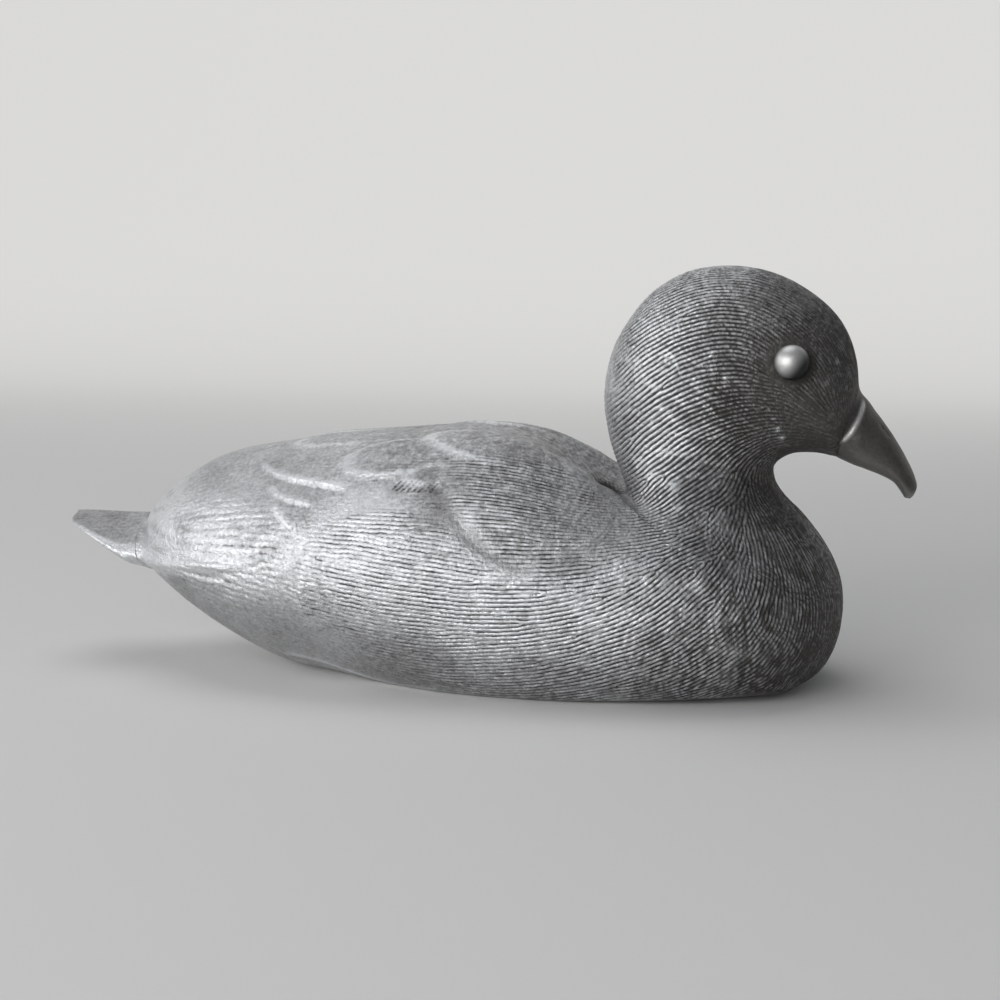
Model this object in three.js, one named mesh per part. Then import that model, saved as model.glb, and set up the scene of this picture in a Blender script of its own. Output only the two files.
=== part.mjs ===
// Pewter duck figurine: two hollow castings that meet at the shoulder seam, a bill,
// a tail and two eyes fixed into them, and a plate with a felt pad that closes the underside.
// Millimetres, +Z up, +X towards the bill, standing on Z = 0.
import * as THREE from "three";

// Driving dimensions
const LENGTH = 237.3;
const WIDTH = 94;
const HEIGHT = 112.3;
const WALL = 2.6;
const JOINT_GAP = 0.3;
const FIT_GAP = 0.8;
const COLLAR_WALL = 1.6;
const BASE_RIM = 4.5;
const PLATE_THICKNESS = 1.4;
const FELT_THICKNESS = 1.0;
const BILL_PROUD = 0.7;
const TAIL_PROUD = 0.3;
const EYE_DIAMETER = 9;
const EYE_HEIGHT = 3.8;
const EYE_SHANK_DIAMETER = 2.2;
const EYE_SHANK_LENGTH = 4;
const RIDGE_OFFSET = 20;
const RIDGE_SPREAD = 10;
const FEATHER_DEPTH = 0.9;
const FEATHER_SPREAD = 5;

// Facets of the castings
const SIDE_CELLS = 17;
const FLAT_CELLS = 3;
const CURVE_STEPS = 96;
const EYE_SIDES = 24;
const EYE_RINGS = 6;

// One section of the duck, cut across its length: the middle of the back and of the belly,
// the half width, the half width of the flat underside, where the section is widest from
// back to belly, how round the lower side is, the height of the shoulder ridges, and how far
// its sides lie ahead of its middle.
const section = (top, low, half, flat, widest, round, ridge = 0, bow = 0) => ({
  top,
  low,
  half,
  flat,
  widest,
  round,
  ridge,
  bow,
});

// Rear casting, from the root of the tail to the shoulder seam, as drawn
const BODY_DRAWING = [
  section([-95, 40], [-89.5, 26], 16.5, 4, 0.6, 1.5),
  section([-90, 46.2], [-83.5, 20.2], 22.4, 4.5, 0.57, 1.25),
  section([-82, 53.3], [-74.5, 13], 29.4, 5, 0.54, 1.2),
  section([-70.5, 59.2], [-63, 5.8], 36, 5, 0.52, 1.2),
  section([-57, 62.4], [-50.5, 0.8], 41, 5.5, 0.51, 1.25),
  section([-41, 64.8], [-37, 0], 44.4, 11, 0.5, 1.3, 0.5),
  section([-21, 67], [-19, 0], 46.3, 23, 0.5, 1.25, 1),
  section([0, 68], [3, 0], 47, 31, 0.5, 1.2, 1.5),
  section([17, 65], [26, 0], 46.5, 33.5, 0.49, 1.2, 3.5, 2),
  section([29, 57.5], [47, 0], 44.8, 32, 0.48, 1.25, 7, 5),
  section([36.2, 52.3], [67, 0], 42.6, 29, 0.47, 1.4, 9, 8),
  section([42, 50], [84, 0], 40.2, 20, 0.46, 1.7, 7, 9.5),
];

// Front casting, from the shoulder seam round the breast, up the neck and over the head, as drawn
const FRONT_DRAWING = [
  BODY_DRAWING.at(-1),
  section([43.6, 51.2], [94.6, 4], 38.4, 8, 0.46, 1.9, 3.5, 7),
  section([43.6, 52.8], [100, 12.2], 36.2, 6, 0.46, 2, 1.5, 4),
  section([42.9, 54.6], [101.6, 22], 33.4, 6, 0.47, 2, 0.5, 1.5),
  section([41.9, 56.8], [99.4, 32.2], 29.6, 6, 0.48, 2),
  section([40.8, 59.3], [92.4, 43.4], 25.4, 5, 0.49, 2),
  section([39.6, 62.3], [84.8, 51.4], 22.2, 4.5, 0.5, 2),
  section([38.2, 66.8], [82.3, 57.5], 20.4, 4, 0.5, 2),
  section([37.2, 72.2], [84, 61.2], 20.4, 4, 0.5, 2),
  section([36.9, 78.5], [87.5, 63.2], 21.2, 4, 0.5, 2),
  section([38, 86.5], [90.5, 63.7], 22.2, 4, 0.5, 2),
  section([41.5, 95], [92.6, 63.7], 22.9, 4, 0.5, 2),
  section([48, 103.8], [94.2, 63.6], 23.1, 4, 0.5, 2),
  section([57, 110], [95.5, 63.4], 22.9, 4, 0.5, 2),
  section([68, 112.3], [96.5, 63.2], 22.5, 4, 0.5, 2),
  section([79.2, 111.2], [97.3, 63], 21.8, 4, 0.51, 2),
  section([89, 106.9], [97.9, 62.9], 20.6, 4, 0.52, 2),
  section([96.6, 101.2], [98.4, 62.8], 18.6, 4, 0.54, 2),
  section([101.4, 94.2], [98.7, 62.7], 16, 4, 0.56, 2),
  section([103.6, 87], [98.9, 62.6], 13.2, 3.5, 0.57, 2),
  section([104.3, 81.2], [99, 62.5], 10.4, 3, 0.58, 2),
];

// Bill, from the face to its hooked tip, as drawn
const BILL_DRAWING = [
  section([107, 76.9], [103.2, 60.6], 9.9, 3.2, 0.6, 2),
  section([110.2, 72.6], [107.2, 59.2], 8.8, 3.2, 0.6, 2),
  section([113.5, 68], [110.8, 57.8], 7.9, 3, 0.6, 2),
  section([116.6, 63], [113.9, 56], 7, 2.6, 0.6, 2),
  section([119, 58.3], [116, 53.3], 5.8, 2, 0.58, 2),
  section([120, 54.8], [116.8, 52], 4.1, 1.4, 0.55, 2),
  section([119.3, 52.6], [117.4, 51.7], 2.2, 0.8, 0.5, 2),
];

// Tail, from the rump to its rounded end, as drawn
const TAIL_DRAWING = [
  section([-100, 39.7], [-95.6, 28.2], 17.2, 11, 0.72, 2),
  section([-105.5, 40], [-102, 32.4], 17, 13, 0.76, 2),
  section([-110.8, 40.3], [-108.2, 36], 15.2, 12.2, 0.76, 2),
  section([-115, 40.2], [-113.6, 38], 11.4, 9, 0.7, 2),
  section([-117.3, 39.8], [-116.8, 38.8], 6.4, 4.8, 0.6, 2),
];

// Hollows between the feathers of each side, seen from the side, as drawn: over the flank,
// behind the wing, under the long wing feather and under the shoulder feathers
const FEATHER_DRAWING = [
  [[43, 36], [21, 40], [8.5, 46], [-4.5, 51.5], [-14, 52.5], [-31, 47.5]],
  [[-6, 58], [3, 50]],
  [[-53, 56], [-39, 53.5], [-25, 52.5]],
  [[-28, 58], [-14, 56.5]],
];

// The drawn sections and hollows, fitted to the overall length, width and height
const drawn = [...FRONT_DRAWING, ...BODY_DRAWING, ...BILL_DRAWING, ...TAIL_DRAWING];
const drawnPlaces = drawn.flatMap((s) => [s.top[0], s.low[0]]);
const LENGTHWISE = LENGTH / (Math.max(...drawnPlaces) - Math.min(...drawnPlaces));
const ACROSS = WIDTH / (2 * Math.max(...drawn.map((s) => s.half)));
const UPWARDS = HEIGHT / Math.max(...drawn.map((s) => s.top[1]));
const fitted = (s) =>
  section(
    [s.top[0] * LENGTHWISE, s.top[1] * UPWARDS],
    [s.low[0] * LENGTHWISE, s.low[1] * UPWARDS],
    s.half * ACROSS,
    s.flat * ACROSS,
    s.widest,
    s.round,
    s.ridge * UPWARDS,
    s.bow * LENGTHWISE,
  );
const BODY = BODY_DRAWING.map(fitted);
const FRONT = FRONT_DRAWING.map(fitted);
const BILL_TIP = BILL_DRAWING.map(fitted);
const TAIL_END = TAIL_DRAWING.map(fitted);
const FEATHER_HOLLOWS = FEATHER_DRAWING.flatMap((line) => {
  const points = line.map(([x, z]) => new THREE.Vector3(x * LENGTHWISE, 0, z * UPWARDS));
  return points.slice(1).map((end, k) => new THREE.Line3(points[k], end));
});

// Rows of facets along each casting, counted in sections
const BODY_ROWS_PER_SECTION = 3;
const FRONT_ROWS_PER_SECTION = 1.5;
const END_ROWS_PER_SECTION = 2;
const BASE_FIRST_ROW = 15;
const BASE_LAST_ROW = 30;
const COLLAR_ROWS = 1;
const EYE_ROW = 24;
const EYE_COLUMN = 11;

const mix = (a, b, t) => a + (b - a) * t;

// Smooth curve through four neighbouring values
function spline(a, b, c, d, t) {
  const linear = c - a;
  const square = 2 * a - 5 * b + 4 * c - d;
  const cubic = 3 * b - a - 3 * c + d;
  return b + 0.5 * t * (linear + t * (square + t * cubic));
}

// The section at a place along a list of sections, where whole numbers are the listed ones
function sectionAt(list, place) {
  const last = list.length - 1;
  const i = Math.min(Math.max(Math.floor(place), 0), last - 1);
  const near = [i - 1, i, i + 1, i + 2].map((k) => list[Math.min(Math.max(k, 0), last)]);
  const blend = (read) => spline(...near.map(read), place - i);
  return section(
    [blend((s) => s.top[0]), blend((s) => s.top[1])],
    [blend((s) => s.low[0]), Math.max(blend((s) => s.low[1]), 0)],
    blend((s) => s.half),
    blend((s) => s.flat),
    blend((s) => s.widest),
    blend((s) => s.round),
    blend((s) => s.ridge),
    blend((s) => s.bow),
  );
}

// A section moved forward along the duck, square to itself, and made wider all round
function moved(s, forward, proud) {
  const down = new THREE.Vector2(s.low[0] - s.top[0], s.low[1] - s.top[1]).normalize();
  const step = [-down.y * forward, down.x * forward];
  return {
    ...s,
    top: [s.top[0] + step[0] - down.x * proud, s.top[1] + step[1] - down.y * proud],
    low: [s.low[0] + step[0] + down.x * proud, s.low[1] + step[1] + down.y * proud],
    half: s.half + proud,
  };
}

// Half of a section's outline from back to base edge, as distances down and across,
// drawn a wall's depth inside the surface
function sideOutline(s, inset) {
  const depth = Math.hypot(s.low[0] - s.top[0], s.low[1] - s.top[1]) - inset;
  const half = s.half - inset;
  const flat = (s.flat * half) / s.half;
  const widest = mix(inset, depth, s.widest);
  const points = [];
  for (let k = 0; k <= CURVE_STEPS; k++) {
    const turn = (Math.PI * k) / CURVE_STEPS;
    if (turn <= Math.PI / 2) {
      const across = half * Math.sin(turn);
      const lift = s.ridge * Math.exp(-(((across - RIDGE_OFFSET) / RIDGE_SPREAD) ** 2));
      points.push(new THREE.Vector2(widest - (widest - inset) * Math.cos(turn) - lift, across));
    } else {
      const fall = turn - Math.PI / 2;
      const across = flat + (half - flat) * Math.max(Math.cos(fall), 0) ** (2 / s.round);
      points.push(new THREE.Vector2(widest + (depth - widest) * Math.sin(fall), across));
    }
  }
  return points;
}

// Points spaced evenly along an outline
function evenly(points, cells) {
  const run = [0];
  points.slice(1).forEach((p, k) => run.push(run[k] + p.distanceTo(points[k])));
  const out = [];
  for (let c = 0, k = 0; c <= cells; c++) {
    const want = (run.at(-1) * c) / cells;
    while (k < points.length - 2 && run[k + 1] < want) k++;
    out.push(points[k].clone().lerp(points[k + 1], (want - run[k]) / (run[k + 1] - run[k])));
  }
  return out;
}

// How deep the hollows between the feathers are at a point of the surface
function hollowAt(point) {
  const seen = new THREE.Vector3(point.x, 0, point.z);
  const gaps = FEATHER_HOLLOWS.map((line) =>
    line.closestPointToPoint(seen, true, new THREE.Vector3()).distanceTo(seen),
  );
  return FEATHER_DEPTH * Math.exp(-((Math.min(...gaps) / FEATHER_SPREAD) ** 2));
}

// The closed ring of points of one section, from the middle of the belly round both sides
function ring(s, inset, feathered = false) {
  const side = evenly(sideOutline(s, inset), SIDE_CELLS);
  const edge = side.at(-1);
  const rim = edge.y - (Math.min(BASE_RIM, s.flat / 2) * edge.y) / s.flat;
  const half = [...side];
  for (let c = 1; c <= FLAT_CELLS; c++) {
    half.push(new THREE.Vector2(edge.x, mix(rim, 0, (c - 1) / (FLAT_CELLS - 1))));
  }
  const right = half.map((p) => [p.x, -p.y]).reverse();
  const left = half.slice(1, -1).map((p) => [p.x, p.y]);
  const down = new THREE.Vector2(s.low[0] - s.top[0], s.low[1] - s.top[1]).normalize();
  const middle = edge.x / 2;
  const place = (fall, across) => {
    const ahead = s.bow * (across / s.half) ** 2;
    const x = s.top[0] + down.x * fall - down.y * ahead;
    const z = s.top[1] + down.y * fall + down.x * ahead;
    return new THREE.Vector3(x, across, z);
  };
  return [...right, ...left].map(([fall, across]) => {
    const smooth = place(fall, across);
    if (!feathered) return smooth;
    const share = 1 - hollowAt(smooth) / Math.hypot(fall - middle, across);
    return place(mix(middle, fall, share), across * share);
  });
}

// A closed mesh from triangles of points, turned so that its faces look outwards
function meshOf(name, triangles, material) {
  const volume = triangles.reduce(
    (sum, [a, b, c]) => sum + a.dot(new THREE.Vector3().crossVectors(b, c)),
    0,
  );
  const facing = volume < 0 ? triangles.map(([a, b, c]) => [a, c, b]) : triangles;
  const geometry = new THREE.BufferGeometry().setFromPoints(facing.flat());
  geometry.computeVertexNormals();
  const mesh = new THREE.Mesh(geometry, material);
  mesh.name = name;
  return mesh;
}

// Two triangles across the shorter diagonal of four corners
function quad(a, b, c, d) {
  if (a.distanceTo(c) <= b.distanceTo(d)) {
    return [
      [a, b, c],
      [a, c, d],
    ];
  }
  return [
    [a, b, d],
    [b, c, d],
  ];
}

// A cast wall between outer and inner rings, open at both ends and where cells are left out
function shell(name, outer, inner, isOpen, material) {
  const rows = outer.length - 1;
  const columns = outer[0].length;
  const present = (i, j) => i >= 0 && i < rows && !isOpen(i, (j + columns) % columns);
  const triangles = [];
  for (let i = 0; i < rows; i++) {
    for (let j = 0; j < columns; j++) {
      if (!present(i, j)) continue;
      const n = (j + 1) % columns;
      const corners = [
        [i, j],
        [i, n],
        [i + 1, n],
        [i + 1, j],
      ];
      const across = [
        [i - 1, j],
        [i, j + 1],
        [i + 1, j],
        [i, j - 1],
      ];
      const out = corners.map(([r, c]) => outer[r][c]);
      const back = corners.map(([r, c]) => inner[r][c]);
      triangles.push(...quad(...out));
      triangles.push(...quad(back[0], back[3], back[2], back[1]));
      across.forEach(([r, c], k) => {
        if (present(r, c)) return;
        const next = (k + 1) % corners.length;
        triangles.push(...quad(out[next], out[k], back[k], back[next]));
      });
    }
  }
  return meshOf(name, triangles, material);
}

// A solid piece through a row of rings, closed at both ends
function solid(name, rings, material) {
  const triangles = [];
  const columns = rings[0].length;
  rings.slice(1).forEach((after, i) => {
    for (let j = 0; j < columns; j++) {
      const n = (j + 1) % columns;
      triangles.push(...quad(rings[i][j], rings[i][n], after[n], after[j]));
    }
  });
  const cap = (points, turn) => {
    const middle = points.reduce((sum, p) => sum.add(p), new THREE.Vector3());
    middle.divideScalar(points.length);
    points.forEach((p, j) => {
      const n = points[(j + 1) % points.length];
      triangles.push(turn ? [middle, p, n] : [middle, n, p]);
    });
  };
  cap(rings[0], false);
  cap(rings.at(-1), true);
  return meshOf(name, triangles, material);
}

// Colours and finish of each metal and of the felt
const metal = (color, roughness) =>
  new THREE.MeshStandardMaterial({ color, roughness, metalness: 1 });
const CAST_PEWTER = metal(0x8d8d8f, 0.45);
const DARK_PEWTER = metal(0x55524f, 0.4);
const POLISHED_PEWTER = metal(0xb4b4b2, 0.22);
const SHEET_PEWTER = metal(0x9a9a9a, 0.5);
const BLACK_FELT = new THREE.MeshStandardMaterial({ color: 0x1d1d1d, roughness: 1, metalness: 0 });

// Places of the rows along a list of sections
function placesAlong(list, rowsPerSection) {
  const places = [];
  for (let k = 0; k <= (list.length - 1) * rowsPerSection; k++) places.push(k / rowsPerSection);
  return places;
}
const bodyPlaces = placesAlong(BODY, BODY_ROWS_PER_SECTION);
const frontPlaces = placesAlong(FRONT, FRONT_ROWS_PER_SECTION);
const bodyRing = (place, inset, feathered) => ring(sectionAt(BODY, place), inset, feathered);
const frontRing = (place, inset) => ring(sectionAt(FRONT, place), inset);
const ringsAlong = (list) =>
  placesAlong(list, END_ROWS_PER_SECTION).map((place) => ring(sectionAt(list, place), 0));
const COLUMNS = 2 * (SIDE_CELLS + FLAT_CELLS);
const inFlat = (j) => j < FLAT_CELLS - 1 || j >= COLUMNS - FLAT_CELLS + 1;

// Rear casting: back, wings, flanks and rump, open at the seam, at the tail and below
function bodyShell() {
  const outer = bodyPlaces.map((p) => bodyRing(p, 0, true));
  const inner = bodyPlaces.map((p) => bodyRing(p, WALL));
  const isOpen = (i, j) => i >= BASE_FIRST_ROW && i < BASE_LAST_ROW && inFlat(j);
  return shell("body_shell", outer, inner, isOpen, CAST_PEWTER);
}

// Front casting: breast, neck and head, with a collar that slips into the rear casting
function headShell() {
  const collarInset = WALL + FIT_GAP;
  const boreInset = collarInset + COLLAR_WALL;
  const collarEnd = bodyPlaces.at(-1 - COLLAR_ROWS);
  const seam = bodyPlaces.at(-1);
  const seamFace = moved(FRONT[0], JOINT_GAP, 0);
  const boreEnd = frontPlaces[1] / 2;
  const rest = frontPlaces.slice(1);
  const outer = [
    bodyRing(collarEnd, collarInset),
    ring(seamFace, collarInset),
    ring(seamFace, 0),
    ...rest.map((p) => frontRing(p, 0)),
  ];
  const inner = [
    bodyRing(collarEnd, boreInset),
    bodyRing(seam, boreInset),
    frontRing(boreEnd, boreInset),
    ...rest.map((p) => frontRing(p, WALL)),
  ];
  const isOpen = (i, j) => i === EYE_ROW && (j === EYE_COLUMN || j === COLUMNS - 1 - EYE_COLUMN);
  return { mesh: shell("head_shell", outer, inner, isOpen, CAST_PEWTER), outer };
}

// Bill: root plug inside the face opening, raised root edge, then the bill itself
function bill() {
  const root = FRONT.at(-1);
  const plugInset = WALL + FIT_GAP;
  const edge = moved(root, JOINT_GAP, BILL_PROUD);
  const list = [edge, ...BILL_TIP];
  const plug = [frontRing(frontPlaces.at(-2), plugInset), ring(edge, plugInset + BILL_PROUD)];
  return solid("bill", [...plug, ...ringsAlong(list)], DARK_PEWTER);
}

// Tail: tang inside the rump opening, then the flat fan of the tail
function tail() {
  const root = BODY[0];
  const tangInset = WALL + FIT_GAP;
  const edge = moved(root, -JOINT_GAP, TAIL_PROUD);
  const list = [edge, ...TAIL_END];
  const tang = [bodyRing(bodyPlaces[1], tangInset), ring(edge, tangInset + TAIL_PROUD)];
  return solid("tail_plate", [...tang, ...ringsAlong(list)], CAST_PEWTER);
}

// Eye: a polished bead on a shank that passes through the hole in the side of the head
function eye(name, outer, column) {
  const next = (column + 1) % COLUMNS;
  const corners = [
    outer[EYE_ROW][column],
    outer[EYE_ROW][next],
    outer[EYE_ROW + 1][next],
    outer[EYE_ROW + 1][column],
  ];
  const middle = corners.reduce((sum, p) => sum.add(p), new THREE.Vector3());
  middle.divideScalar(corners.length);
  const across = corners[2].clone().sub(corners[0]);
  const along = corners[3].clone().sub(corners[1]);
  const facing = new THREE.Vector3().crossVectors(across, along).normalize();
  if (facing.y * middle.y < 0) facing.negate();
  const radius = EYE_DIAMETER / 2;
  const profile = [
    new THREE.Vector2(0, -EYE_SHANK_LENGTH),
    new THREE.Vector2(EYE_SHANK_DIAMETER / 2, -EYE_SHANK_LENGTH),
    new THREE.Vector2(EYE_SHANK_DIAMETER / 2, JOINT_GAP),
  ];
  for (let k = 0; k <= EYE_RINGS; k++) {
    const turn = (Math.PI / 2) * (k / EYE_RINGS);
    const height = JOINT_GAP + EYE_HEIGHT * Math.sin(turn);
    profile.push(new THREE.Vector2(k === EYE_RINGS ? 0 : radius * Math.cos(turn), height));
  }
  const mesh = new THREE.Mesh(new THREE.LatheGeometry(profile, EYE_SIDES), POLISHED_PEWTER);
  mesh.name = name;
  mesh.position.copy(middle);
  mesh.quaternion.setFromUnitVectors(new THREE.Vector3(0, 1, 0), facing);
  return mesh;
}

// Plate and pad: the outline of the base opening, a joint gap smaller all round
function basePiece(name, bottom, thickness, material) {
  const edge = [];
  for (let i = BASE_FIRST_ROW; i <= BASE_LAST_ROW; i++) {
    const lip = bodyRing(bodyPlaces[i], WALL).slice(0, FLAT_CELLS);
    const side = lip.at(-1);
    const places = lip.map((p) => p.x);
    let along = side.x;
    if (i === BASE_FIRST_ROW) along = Math.max(...places) + JOINT_GAP;
    if (i === BASE_LAST_ROW) along = Math.min(...places) - JOINT_GAP;
    edge.push(new THREE.Vector2(along, -side.y - JOINT_GAP));
  }
  const across = edge.map((p) => new THREE.Vector2(p.x, -p.y)).reverse();
  const shape = new THREE.Shape([...edge, ...across]);
  const geometry = new THREE.ExtrudeGeometry(shape, { depth: thickness, bevelEnabled: false });
  const mesh = new THREE.Mesh(geometry, material);
  mesh.name = name;
  mesh.position.z = bottom;
  return mesh;
}

const duck = new THREE.Group();
const head = headShell();
duck.add(bodyShell());
duck.add(head.mesh);
duck.add(bill());
duck.add(tail());
duck.add(eye("right_eye", head.outer, EYE_COLUMN));
duck.add(eye("left_eye", head.outer, COLUMNS - 1 - EYE_COLUMN));
duck.add(basePiece("base_felt", 0, FELT_THICKNESS, BLACK_FELT));
duck.add(basePiece("base_plate", FELT_THICKNESS, PLATE_THICKNESS, SHEET_PEWTER));

// Middle of the length at the origin
const box = new THREE.Box3().setFromObject(duck);
duck.children.forEach((piece) => {
  piece.position.x -= (box.min.x + box.max.x) / 2;
});

export default duck;
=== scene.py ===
import math

import bpy
import numpy as np
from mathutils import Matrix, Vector, noise
from mathutils.bvhtree import BVHTree


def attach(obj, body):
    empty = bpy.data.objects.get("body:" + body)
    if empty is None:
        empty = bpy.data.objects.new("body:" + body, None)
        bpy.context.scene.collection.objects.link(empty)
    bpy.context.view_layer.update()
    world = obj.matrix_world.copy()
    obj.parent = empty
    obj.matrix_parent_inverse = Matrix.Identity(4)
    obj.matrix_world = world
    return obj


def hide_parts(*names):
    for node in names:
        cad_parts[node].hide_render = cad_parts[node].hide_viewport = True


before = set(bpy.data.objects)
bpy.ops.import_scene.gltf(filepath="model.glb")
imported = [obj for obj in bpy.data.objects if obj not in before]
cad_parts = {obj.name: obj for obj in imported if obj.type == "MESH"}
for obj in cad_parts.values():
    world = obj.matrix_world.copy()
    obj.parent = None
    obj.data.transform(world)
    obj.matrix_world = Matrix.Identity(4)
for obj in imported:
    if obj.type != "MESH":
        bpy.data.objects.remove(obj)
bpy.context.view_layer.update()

MM = 0.001

# View of the photograph: the camera's place, its tilt and turn, and its lens
CAMERA_AT = Vector((108.9, -482.2, 118.7)) * MM
CAMERA_TILT = math.radians(81.81)
CAMERA_TURN = math.radians(12)
CAMERA_LENS = 64.8

# Rings of the CAD castings: points round a ring, counted from the middle of the belly up the
# right side, the column of the right base edge, and the points from there to the left one. Then the
# width of the base rim, the rows between which the base is open, how deep it is there, and how close to
# the middle a point of the spine lies.
COLUMNS = 40
BASE_EDGE = 3
SIDE_COLUMNS = COLUMNS - 2 * BASE_EDGE + 1
BASE_RIM = 4.5
BASE_ROWS = (15, 30)
BASE_RECESS = 2.6
ON_SPINE = 0.01

# Rows of the meshes: millimetres between them far from the shoulder seam and at it, on the end pieces,
# and the even steps on which their places are summed up
BODY_STEPS = (0.62, 0.4)
HEAD_STEPS = (0.34, 0.34)
END_STEP = 0.4
ROW_SUMS = 4000

# Points round a row: how many lie over the sides, on a rim and on the belly, how close together they
# are on the back, where 1 is as close as on the flanks, the share of the way from the back to the belly
# over which that changes, the even steps on which their places are summed up, and half the gap of a pair
# at an edge of the base opening
SIDE_POINTS = 620
RIM_POINTS = 10
BELLY_POINTS = 26
BACK_SHARE = 0.7
BACK_TO_FLANK = (0.12, 0.3)
POINT_SUMS = 20 * SIDE_POINTS
HALF_PAIR = 0.02

# Half the gap between two pieces, how far from the seam the rows go from fine to coarse, rounding of
# the base edges in columns and passes, length of the tips, and how much of them is drawn
JOINT_LINE = 0.015
FINE_ROWS = (35, 60)
RIM_SOFTNESS = 9
RIM_PASSES = 12
TIP_LENGTH = 0.7
TIP_SHARE = 0.8

# Chased lines: depth of the grooves and how much deeper they are on the head, how narrow they are on
# the head and on the body, the weight of the faintest, how fast depth falls with strength, and how much
# the hand that cuts them may change it
GROOVE_DEPTH = 0.4
DEEPER_HEAD = 0.25
WIDE_GROOVE = 1.1
NARROW_GROOVE = 2.4
FAINTEST_LINE = 0.08
DEPTH_POWER = 0.7
HAND_RANGE = (0.2, 1.4)

# Unevenness as sums of smooth noise, each given by its height and size: of the run of the lines in
# degrees, of their wave in radians, of the hand that cuts them, of the castings and of the back
RUN_WAVES = [(4, 14), (4, 6)]
SHAKE_WAVES = [(0.7, 3.5), (0.5, 1.5)]
HAND_WAVES = [(0.35, 4.5), (0.2, 1.2)]
CASTING_WAVES = [(0.12, 9), (0.06, 3.1), (0.05, 1.5)]
MOTTLE_WAVES = [(1, 1.9), (0.8, 1)]

# Noise that is drawn out along the lines: height, length and width
HAND_STREAKS = (0.5, 6, 1.5)
CREST_STREAKS = (1.4, 2.4, 1.1)
RUMP_STREAKS = (0.45, 9, 1.8)

# Net on which the lines are settled: its rows and columns, the strides from coarse to fine, the rounds
# at each stride, the weight of a point beside its neighbours, the seed of the first random wave, and a
# place outside the duck on the right
NET_SIZE = (561, 369)
STRIDES = (4, 2, 1)
ROUNDS = (1500, 300, 60)
OWN_WEIGHT = 0.5
FIRST_DRAW = 11
FAR_RIGHT = -100

# Least reach of the places of a table that is seen from the side
SIDE_REACH = 5

# Run of the chased lines seen from the side: place along and up, rise in degrees, strength
CHASING = [
    (-80, 40, 0, 0), (-68, 50, 0, 0.05), (-68, 36, 0, 0.3), (-66, 26, 0, 0.25), (-70, 16, -20, 0),
    (-56, 54, 0, 0.05), (-55, 40, 0, 0.42), (-55, 28, -6, 0.35), (-55, 18, -8, 0),
    (-45, 54, -5, 0), (-45, 43, -8, 0.4), (-44, 31, -10, 0.4), (-45, 20, -10, 0.1),
    (-35, 53, -5, 0), (-35, 45, -5, 0.5), (-34, 36, -11, 0.7), (-34, 25, -14, 0.6), (-36, 12, -20, 0.05),
    (-25, 54, -5, 0), (-25, 45, -5, 0.85), (-25, 32, -8, 0.9), (-25, 22, -9, 0.75), (-26, 13, -10, 0.3),
    (-15, 56, 5, 0), (-15, 47, -6, 0.8), (-15, 33, -6, 1), (-15, 16, -3, 0.55), (-17, 5, -8, 0.3),
    (-5, 56, 8, 0.15), (-6, 47, -5, 0.8), (-6, 40, -8, 0.9), (-6, 26, -4, 1), (-7, 8, 3, 0.45),
    (3, 56, 3, 0.5), (3, 48, -8, 0.5), (3, 40, -9, 0.85), (3, 27, -2, 1), (2, 12, 6, 0.6),
    (12, 55, 1, 0.75), (12, 48, 0, 0.7), (12, 36, -5, 0.9), (12, 26, 0, 1), (12, 10, 8, 0.6),
    (21, 55, -4, 0.6), (20, 48, -3, 0.85), (21, 37, -1, 0.85), (21, 26, 6, 1), (21, 10, 9, 0.65),
    (30, 54, -4, 0.35), (29, 47, 6, 0.6), (30, 36, 6, 0.8), (30, 26, 11, 1), (30, 10, 17, 0.75),
    (38, 47, 10, 0.35), (38, 40, 11, 0.6), (39, 30, 16, 0.85), (39, 19, 19, 0.95), (38, 8, 18, 0.8),
    (46, 47, 18, 0.3), (47, 40, 26, 0.6), (48, 28, 27, 1), (48, 10, 23, 0.85), (46, 1, 13, 0.6),
    (55, 46, 37, 0.8), (56, 36, 37, 0.85), (56, 24, 35, 1), (56, 10, 29, 0.75), (55, 1, 21, 0.5),
    (64, 44, 44, 0.95), (65, 32, 42, 1), (65, 18, 40, 1), (65, 8, 34, 0.85),
    (72, 48, 64, 0.65), (73, 38, 51, 0.85), (73, 27, 48, 0.95), (73, 12, 41, 0.8),
    (81, 48, 104, 0.4), (81, 40, 84, 0.5), (82, 31, 58, 0.75), (82, 15, 47, 0.65),
    (89, 45, 120, 0.35), (90, 36, 100, 0.5), (90, 25, 66, 0.55), (90, 14, 50, 0.5),
    (98, 34, 112, 0.25), (99, 22, 88, 0.25), (99, 12, 60, 0.2),
    (53, 55, 42, 1), (63, 55, 43, 0.95), (71, 55, 47, 0.7), (80, 54, 100, 0.15),
    (43, 62, 46, 0.8), (53, 63, 39, 1), (62, 63, 34, 1), (71, 63, 35, 0.75), (80, 62, 50, 0.3),
    (43, 73, 41, 0.85), (53, 74, 34, 1), (62, 75, 26, 0.95), (71, 75, 16, 0.8), (80, 72, 10, 0.35),
    (42, 88, 43, 0.8), (53, 87, 32, 0.95), (62, 87, 19, 0.9), (71, 86, 3, 0.75), (80, 80, -4, 0.4),
    (46, 98, 38, 0.8), (53, 98, 26, 0.95), (62, 98, 11, 0.9), (71, 97, -3, 0.7), (80, 88, -45, 0.4),
    (52, 106, 28, 0.7), (61, 107, 10, 0.7), (70, 108, -4, 0.55), (79, 103, -24, 0.4), (88, 101, -34, 0.3),
    (80, 95, -40, 0.35), (88, 93, -48, 0.3), (96, 93, -58, 0.3), (89, 79, -46, 0.3), (97, 82, -68, 0.25),
    (88, 71, -20, 0.12), (96, 71, -40, 0.1),
]

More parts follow.
